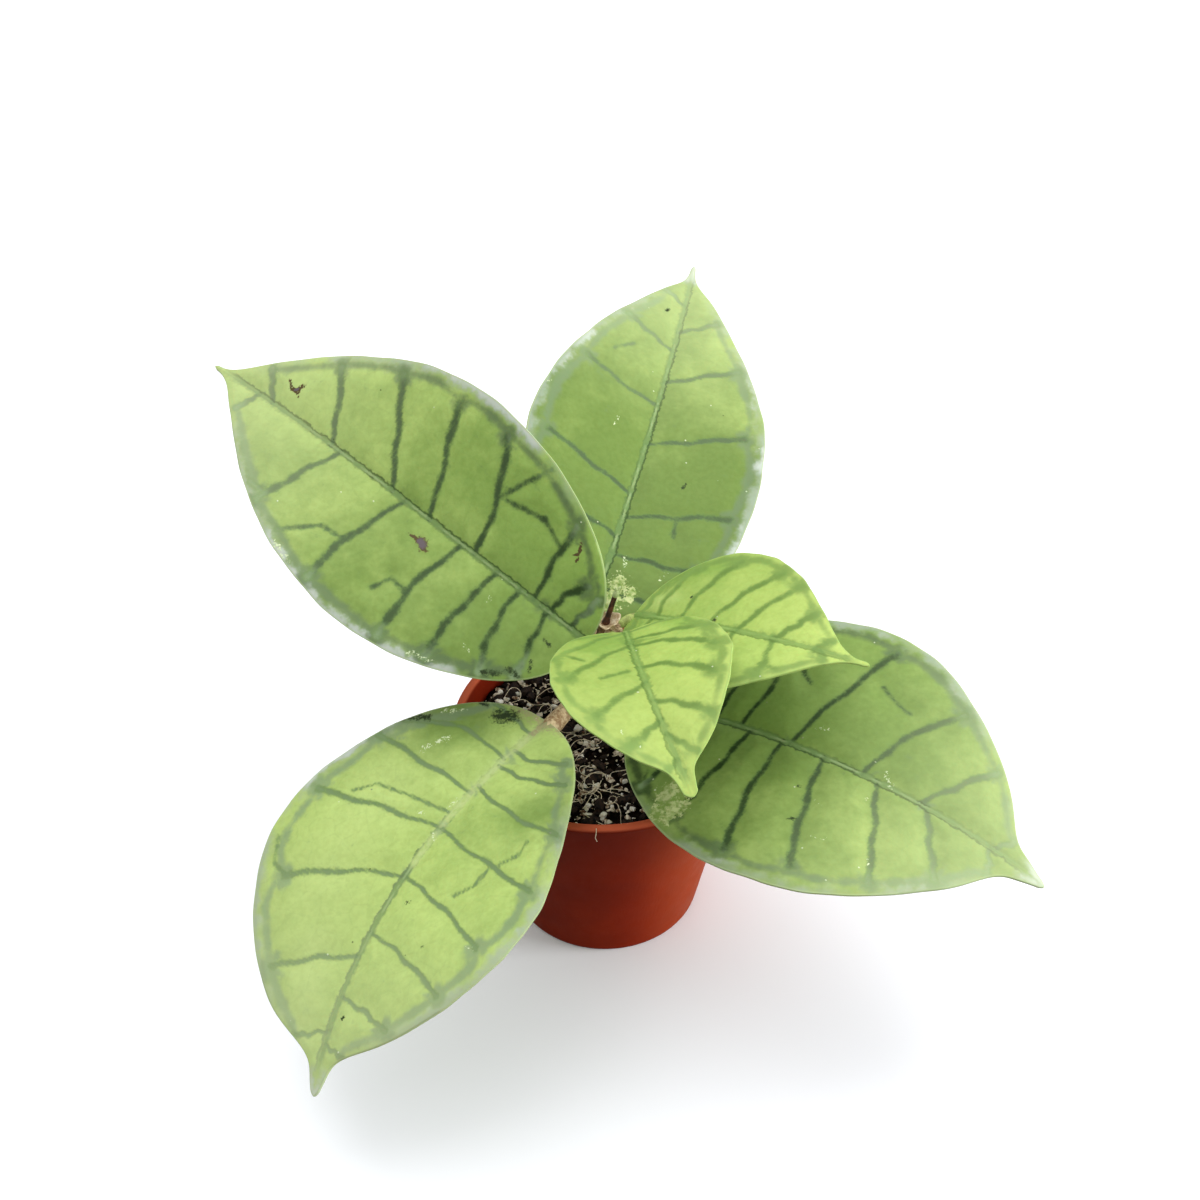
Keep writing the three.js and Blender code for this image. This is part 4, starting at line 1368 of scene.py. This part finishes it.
# %% [markdown]
# ## The pot
#
# A nursery pot is moulded from thin plastic: a tapered wall, a small lip that stands out, and a floor with
# drain holes. As by hand, it starts as one circle. Its edge is extruded and resized from step to step, up the
# outside, over the lip, down the inside and across the floor. Short steps round the edges that the mould
# rounds. The holes are cut by a Boolean modifier.

# %% The pot
POT = dict(height=47, rim=30, lip_height=1.3, lip_inner=28.3, under_lip=28.6, base=20, wall=0.9, floor=1.4)
DRAIN = dict(count=6, radius=2, circle=13, depth=6)
SOIL_LEVEL = 42.6


def inside_radius(height):
    """The radius of the pot's inner wall at a height."""
    top, foot = POT["height"] - POT["lip_height"] - 1, POT["floor"] + 1
    share = (height - foot) / (top - foot)
    return POT["base"] + (POT["under_lip"] - POT["base"]) * share - POT["wall"]


def turn_profile(profile, sides):
    """Extrudes and resizes a circle's edge through (radius, height) steps, and closes both ends."""
    first_radius, first_height = profile[0]
    piece = added(
        bpy.ops.mesh.primitive_circle_add, vertices=sides, radius=first_radius * MM, fill_type="NGON",
        location=(0, 0, first_height * MM),
    )
    bpy.ops.object.transform_apply(location=True, rotation=True, scale=True)
    bpy.ops.object.mode_set(mode="EDIT")
    bpy.ops.mesh.select_all(action="SELECT")
    for (radius, height), (wider, higher) in zip(profile, profile[1:]):
        bpy.ops.mesh.extrude_region_move(TRANSFORM_OT_translate={"value": (0, 0, (higher - height) * MM)})
        bpy.ops.transform.resize(value=(wider / radius, wider / radius, 1), center_override=(0, 0, 0))
    bpy.ops.mesh.select_all(action="SELECT")
    bpy.ops.mesh.normals_make_consistent(inside=False)
    bpy.ops.object.mode_set(mode="OBJECT")
    return piece


def add_pot():
    """The pot's wall, lip and floor, with its drain holes cut."""
    height, under = POT["height"], POT["height"] - POT["lip_height"]
    pot = turn_profile(
        [
            (18.5, 0), (19.3, 0.15), (19.8, 0.7), (20, 1.5), (POT["under_lip"], under - 0.5),
            (28.75, under - 0.12), (29.1, under), (29.7, under + 0.02), (29.93, under + 0.2),
            (POT["rim"], under + 0.6), (29.93, height - 0.3), (29.65, height - 0.05), (29.3, height),
            (28.8, height), (28.5, height - 0.12),
            (POT["lip_inner"], height - 0.5), (inside_radius(44.7), 44.7), (inside_radius(2.4), 2.4),
            (inside_radius(2.4) - 0.3, 1.7), (inside_radius(2.4) - 1, POT["floor"]),
        ],
        144,
    )
    cutters = []
    for i in range(DRAIN["count"]):
        angle = math.tau * i / DRAIN["count"]
        x, y = DRAIN["circle"] * math.cos(angle), DRAIN["circle"] * math.sin(angle)
        cutters.append(added(
            bpy.ops.mesh.primitive_cylinder_add, vertices=32, radius=DRAIN["radius"] * MM,
            depth=DRAIN["depth"] * MM, location=(x * MM, y * MM, POT["floor"] / 2 * MM),
        ))
    cutter = join(cutters)
    apply_modifier(pot, "BOOLEAN", operation="DIFFERENCE", object=cutter, solver="EXACT")
    bpy.data.objects.remove(cutter)
    return pot


pot = add_pot()

# %% The pot's finish
# Each painted light or shade: along which axis, from where to where in millimetres, its greatest share and
# its colour
POT_LIGHT_AND_SHADE = [
    # painted shade: the wall darkens upwards, where the leaves shade it
    ("Z", 8, 45, 0.6, colour(84, 18, 6)),
    # painted light: the wall lightens towards its lit right side
    ("X", 2, 24, 0.6, colour(180, 80, 40)),
    # painted highlight along the top of the lip
    ("Z", 46.1, 46.9, 0.75, colour(216, 106, 72)),
]
material, tree, shader = new_material("pot_plastic", IOR=1.45, Specular_IOR_Level=0.05)
place = here(tree)
tone = two_tone(tree, place, 14, 0.35, 0.65, colour(148, 42, 14), colour(134, 36, 12))
tone = blend(tree, step(tree, noise(tree, place, 0.8, 2), 0.6, 0.85, 0.0, 0.1), tone, colour(200, 110, 76))
axes = put(tree, "ShaderNodeSeparateXYZ", place).outputs
for axis, low, high, share, shade in POT_LIGHT_AND_SHADE:
    tone = blend(tree, step(tree, axes[axis], low * MM, high * MM, 0.0, share), tone, shade)
scuffs = put(tree, "ShaderNodeMapping", place, None, None, (1, 1, 0.06)).outputs[0]
roughness = step(tree, noise(tree, place, 5, 4), 0.3, 0.7, 0.3, 0.4)
finish_shader(tree, shader, tone, roughness, noise(tree, scuffs, 0.5, 2), 0.02)
hand_over(pot, "nursery_pot", [material], "pot", smooth=35)

# %% [markdown]
# ## The potting mix
#
# The mix is bark, peat and perlite with roots through it. Its bed is one closed body that fills the pot, with
# a crumbly top. On it lie thousands of crumbs. Six shapes for each kind are made from a small cut-up cube
# that is rounded and knocked about. They are copied, each copy with its own mesh, turned and sized at random
# from a fixed seed, and joined by kind: dark bark, pale chips and white perlite. Thin pale roots run between
# them, and one hangs over the front of the rim.

# %% The bed
MOUND = dict(rise=1.4, reach=11, unevenness=0.35)
BED = dict(rings=36, ring_width=0.73, sunk=0.5, lowest=-0.45, highest=0.35)
BED_TOP = (SOIL_LEVEL - 0.1) * MM # all of the bed's top is above this


def soil_height(x, y):
    """The height of the mix above the pot's foot."""
    rise = MOUND["rise"] * math.exp(-((math.hypot(x, y) / MOUND["reach"]) ** 2))
    rolls = math.sin(0.45 * x + 1.1) * math.cos(0.38 * y - 0.4) + 0.6 * math.sin(0.9 * y + 0.5 * x)
    return SOIL_LEVEL + rise + MOUND["unevenness"] * rolls


def add_bed():
    """A closed body from the pot's floor to the crumbly top, in rings that are inset one by one."""
    edge = inside_radius(SOIL_LEVEL) - 0.04
    bed = turn_profile([(18, 1.75), (inside_radius(4) - 0.1, 4), (edge, SOIL_LEVEL)], 120)
    bpy.ops.object.mode_set(mode="EDIT")
    bpy.ops.mesh.select_all(action="DESELECT")
    bpy.ops.object.mode_set(mode="OBJECT")
    for face in bed.data.polygons:
        face.select = face.center.z > BED_TOP
    bpy.ops.object.mode_set(mode="EDIT")
    bpy.ops.mesh.select_mode(type="FACE")
    for _ in range(BED["rings"]):
        bpy.ops.mesh.inset(thickness=BED["ring_width"] * MM)
    bpy.ops.mesh.poke()
    bpy.ops.object.mode_set(mode="OBJECT")
    return bed


bed = add_bed()
points = points_of(bed)
lumps = random.Random(4)
for point in points:
    if point[2] > BED_TOP:
        lump = lumps.uniform(BED["lowest"], BED["highest"])
        point[2] = (soil_height(point[0] / MM, point[1] / MM) - BED["sunk"] + lump) * MM
move_points(bed, points)
material, tree, shader = new_material("peat", IOR=1.3, Specular_IOR_Level=0.1)
place = here(tree)
tone = two_tone(tree, place, 0.9, 0.4, 0.62, colour(6, 4, 3), colour(30, 20, 14), 4, 0.7)
finish_shader(tree, shader, tone, 0.95, noise(tree, place, 0.7, 4, 0.7), 0.5)
hand_over(bed, "potting_mix_bed", [material], "soil")

# %% Crumbs
CRUMBS = dict(
    dark_bark=dict(
        count=800, least=0.5, most=1.7, flat=0.5, narrow=0.4, lift=0.35, roundness=0.7, jitter=0.24
    ),
    pale_chips=dict(
        count=1300, least=0.2, most=0.85, flat=0.35, narrow=0.3, lift=0.8, roundness=0.6, jitter=0.3
    ),
    perlite=dict(
        count=620, least=0.15, most=0.9, flat=0.6, narrow=0.45, lift=0.8, roundness=0.6, jitter=0.34
    ),
)
CRUMB_SHAPES = 6
FIRST_SEED = 20


def crumb_shape(random_source, roundness, jitter):
    """One crumb: a cube cut up once, rounded and knocked about, with 24 faces."""
    crumb = added(bpy.ops.mesh.primitive_cube_add, size=2)
    in_edit_mode((bpy.ops.mesh.subdivide, dict(number_cuts=1)))
    points = points_of(crumb)
    move_points(crumb, points / np.linalg.norm(points, axis=1, keepdims=True) ** roundness)
    seed = random_source.randrange(1, 999)
    in_edit_mode((bpy.ops.transform.vertex_random, dict(offset=jitter, seed=seed)))
    return crumb


def scatter(kind, seed):
    """Copies a few crumb shapes over the bed, each copy with its own mesh, and joins them."""
    random_source = random.Random(seed)
    shapes = [crumb_shape(random_source, kind["roundness"], kind["jitter"]) for _ in range(CRUMB_SHAPES)]
    copies = []
    for _ in range(kind["count"]):
        angle = random_source.uniform(0, math.tau)
        size = kind["least"] + (kind["most"] - kind["least"]) * random_source.random() ** 2.5
        away = math.sqrt(random_source.uniform(0.01, 1)) * (inside_radius(SOIL_LEVEL) - 0.2 - size)
        x, y = away * math.cos(angle), away * math.sin(angle)
        z = soil_height(x, y) - BED["sunk"] + kind["lift"] * size * random_source.uniform(0.2, 1.2)
        template = random_source.choice(shapes)
        copy = bpy.data.objects.new("crumb", template.data.copy())
        turn = Matrix.Rotation(random_source.uniform(0, math.tau), 4, "Z")
        turn @= Matrix.Rotation(random_source.uniform(-0.8, 0.8), 4, "X")
        narrow = random_source.uniform(kind["narrow"], 0.95)
        stretch = Matrix.Diagonal((1, narrow, kind["flat"], 1))
        place = Matrix.Translation(Vector((x, y, z)) * MM)
        copy.matrix_world = place @ turn @ stretch @ Matrix.Scale(size * MM, 4)
        bpy.context.collection.objects.link(copy)
        copies.append(copy)
    for shape in shapes:
        bpy.data.objects.remove(shape)
    return join(copies)


def crumb_material(name, first, second, roughness, size=0.9):
    """A rough, broken surface in two tones."""
    material, tree, shader = new_material(name, IOR=1.35, Specular_IOR_Level=0.3)
    place = here(tree)
    tone = two_tone(tree, place, size, 0.38, 0.62, first, second, roughness=0.6)
    finish_shader(tree, shader, tone, roughness, noise(tree, place, 0.3, 3, 0.7), 0.2)
    return material


crumb_looks = dict(
    dark_bark=crumb_material("dark_bark", colour(14, 11, 10), colour(54, 39, 30), 0.7),
    pale_chips=crumb_material("pale_chips", colour(120, 88, 62), colour(250, 238, 216), 0.8, 1.0),
    perlite=crumb_material("perlite", colour(240, 228, 208), colour(255, 252, 244), 0.9, 1.2),
)
for seed, (name, kind) in enumerate(CRUMBS.items()):
    hand_over(scatter(kind, FIRST_SEED + seed), name, [crumb_looks[name]], "soil", smooth=20)

# %% Root fibres
ROOTS = dict(count=150, radius=0.075, steps=15, fewest=5, stride=0.5, curl=0.4, swerve=0.25)
ROOTS.update(least_lift=0.1, most_lift=1.5, spread=22, edge=26.3, hair=0.07)
RIM_HAIR = [
    (-1.2, -27, 43.6), (-1.5, -28.6, 46), (-1.6, -29.7, 47.12),
    (-1.6, -30.15, 46.6), (-1.8, -30, 44.9), (-1.5, -29.6, 43.6),
]


def root_path(random_source):
    """A thin root that wanders over the bed, lifting here and there."""
    angle = random_source.uniform(0, math.tau)
    away = math.sqrt(random_source.random()) * ROOTS["spread"]
    x, y = away * math.cos(angle), away * math.sin(angle)
    heading = random_source.uniform(0, math.tau)
    turning = random_source.uniform(-ROOTS["curl"], ROOTS["curl"])
    lift = random_source.uniform(ROOTS["least_lift"], ROOTS["most_lift"])
    path = []
    for i in range(ROOTS["steps"]):
        rise = lift * math.sin(math.pi * i / ROOTS["steps"])
        path.append((x, y, soil_height(x, y) + 0.1 + rise))
        turning = 0.85 * turning + random_source.uniform(-ROOTS["swerve"], ROOTS["swerve"])
        heading += turning
        x += ROOTS["stride"] * math.cos(heading)
        y += ROOTS["stride"] * math.sin(heading)
        if math.hypot(x, y) > ROOTS["edge"]:
            break
    return path


def add_roots():
    """All the roots on the bed, and one hair that hangs over the front of the rim."""
    random_source = random.Random(31)
    bars = []
    for _ in range(ROOTS["count"]):
        path = root_path(random_source)
        if len(path) >= ROOTS["fewest"]:
            taper = np.linspace(1.25, 0.6, len(path)) * ROOTS["radius"]
            bars.append(tube(path, taper, 6))
    bars.append(tube(RIM_HAIR, [ROOTS["hair"]] * len(RIM_HAIR), 6))
    return bars


root_skin = crumb_material("root_skin", colour(222, 204, 172), colour(252, 240, 216), 0.8)
hand_over(join(add_roots()), "root_fibres", [root_skin], "soil")

# %% [markdown]
# ## Floor and light
#
# The plant stands on a plain white floor. A large soft lamp hangs almost overhead, a little to the back left,
# so the shadow falls softly below the plant and to its front. A weak low lamp at the right lights the pot's
# side, and a sky that is brighter overhead than at the horizon fills the rest. Behind the plant the camera
# sees that sky as one plain pale tone, as a studio's backdrop is.

# %% The floor
FLOOR_LIFT = 0.07 # keeps the shadow on the floor pale
FLOOR_LIT = (0.34, 0.34, 0.34, 1)
FLOOR_SEEN = (0.91, 0.93, 0.97, 1)
floor = added(bpy.ops.mesh.primitive_plane_add, size=6)
floor.name = "floor"
material, tree, shader = new_material("floor_white", Roughness=0.9, Specular_IOR_Level=0.05)
seen = put(tree, "ShaderNodeLightPath").outputs["Is Camera Ray"]
set_input(tree, shader.inputs["Base Color"], blend(tree, seen, FLOOR_LIT, FLOOR_SEEN))
set_input(tree, shader.inputs["Emission Color"], blend(tree, seen, (0, 0, 0, 1), (1, 1, 1, 1)))
shader.inputs["Emission Strength"].default_value = FLOOR_LIFT
floor.data.materials.append(material)
floor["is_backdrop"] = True


# %% The lamps and the sky
LAMPS = [
    dict(place=(-0.1, 0.25, 1.0), size=0.9, power=6),
    dict(place=(0.8, -0.15, 0.2), size=0.35, power=7),
]
LAMP_TARGET = (0, 0, 0.05)
SKY = dict(low=0.0, high=0.8, horizon=0.28, top=1.0, seen=0.93)


def add_lamp(place, size, power):
    """A square soft lamp that faces the plant."""
    bpy.ops.object.light_add(type="AREA", location=place)
    lamp = bpy.context.object
    lamp.data.size = size
    lamp.data.energy = power
    away = Vector(place) - Vector(LAMP_TARGET)
    lamp.rotation_euler = away.to_track_quat("Z", "Y").to_euler()
    return lamp


for lamp in LAMPS:
    add_lamp(**lamp)
world = bpy.data.worlds.new("studio")
bpy.context.scene.world = world
world.use_nodes = True
sky = world.node_tree
height = put(sky, "ShaderNodeSeparateXYZ", put(sky, "ShaderNodeTexCoord").outputs["Generated"]).outputs["Z"]
brightness = step(sky, height, SKY["low"], SKY["high"], SKY["horizon"], SKY["top"])
seen = put(sky, "ShaderNodeLightPath").outputs["Is Camera Ray"]
change = product(sky, seen, maths(sky, "SUBTRACT", SKY["seen"], brightness))
set_input(sky, sky.nodes["Background"].inputs["Strength"], total(sky, brightness, change))
sky.nodes["Background"].inputs["Color"].default_value = (1, 1, 1, 1)
bpy.context.scene.view_settings.view_transform = "Standard"

# %% Sizes and the end
low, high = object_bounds()
print("the dressed plant measures", [round(side / MM, 1) for side in high - low], "mm")
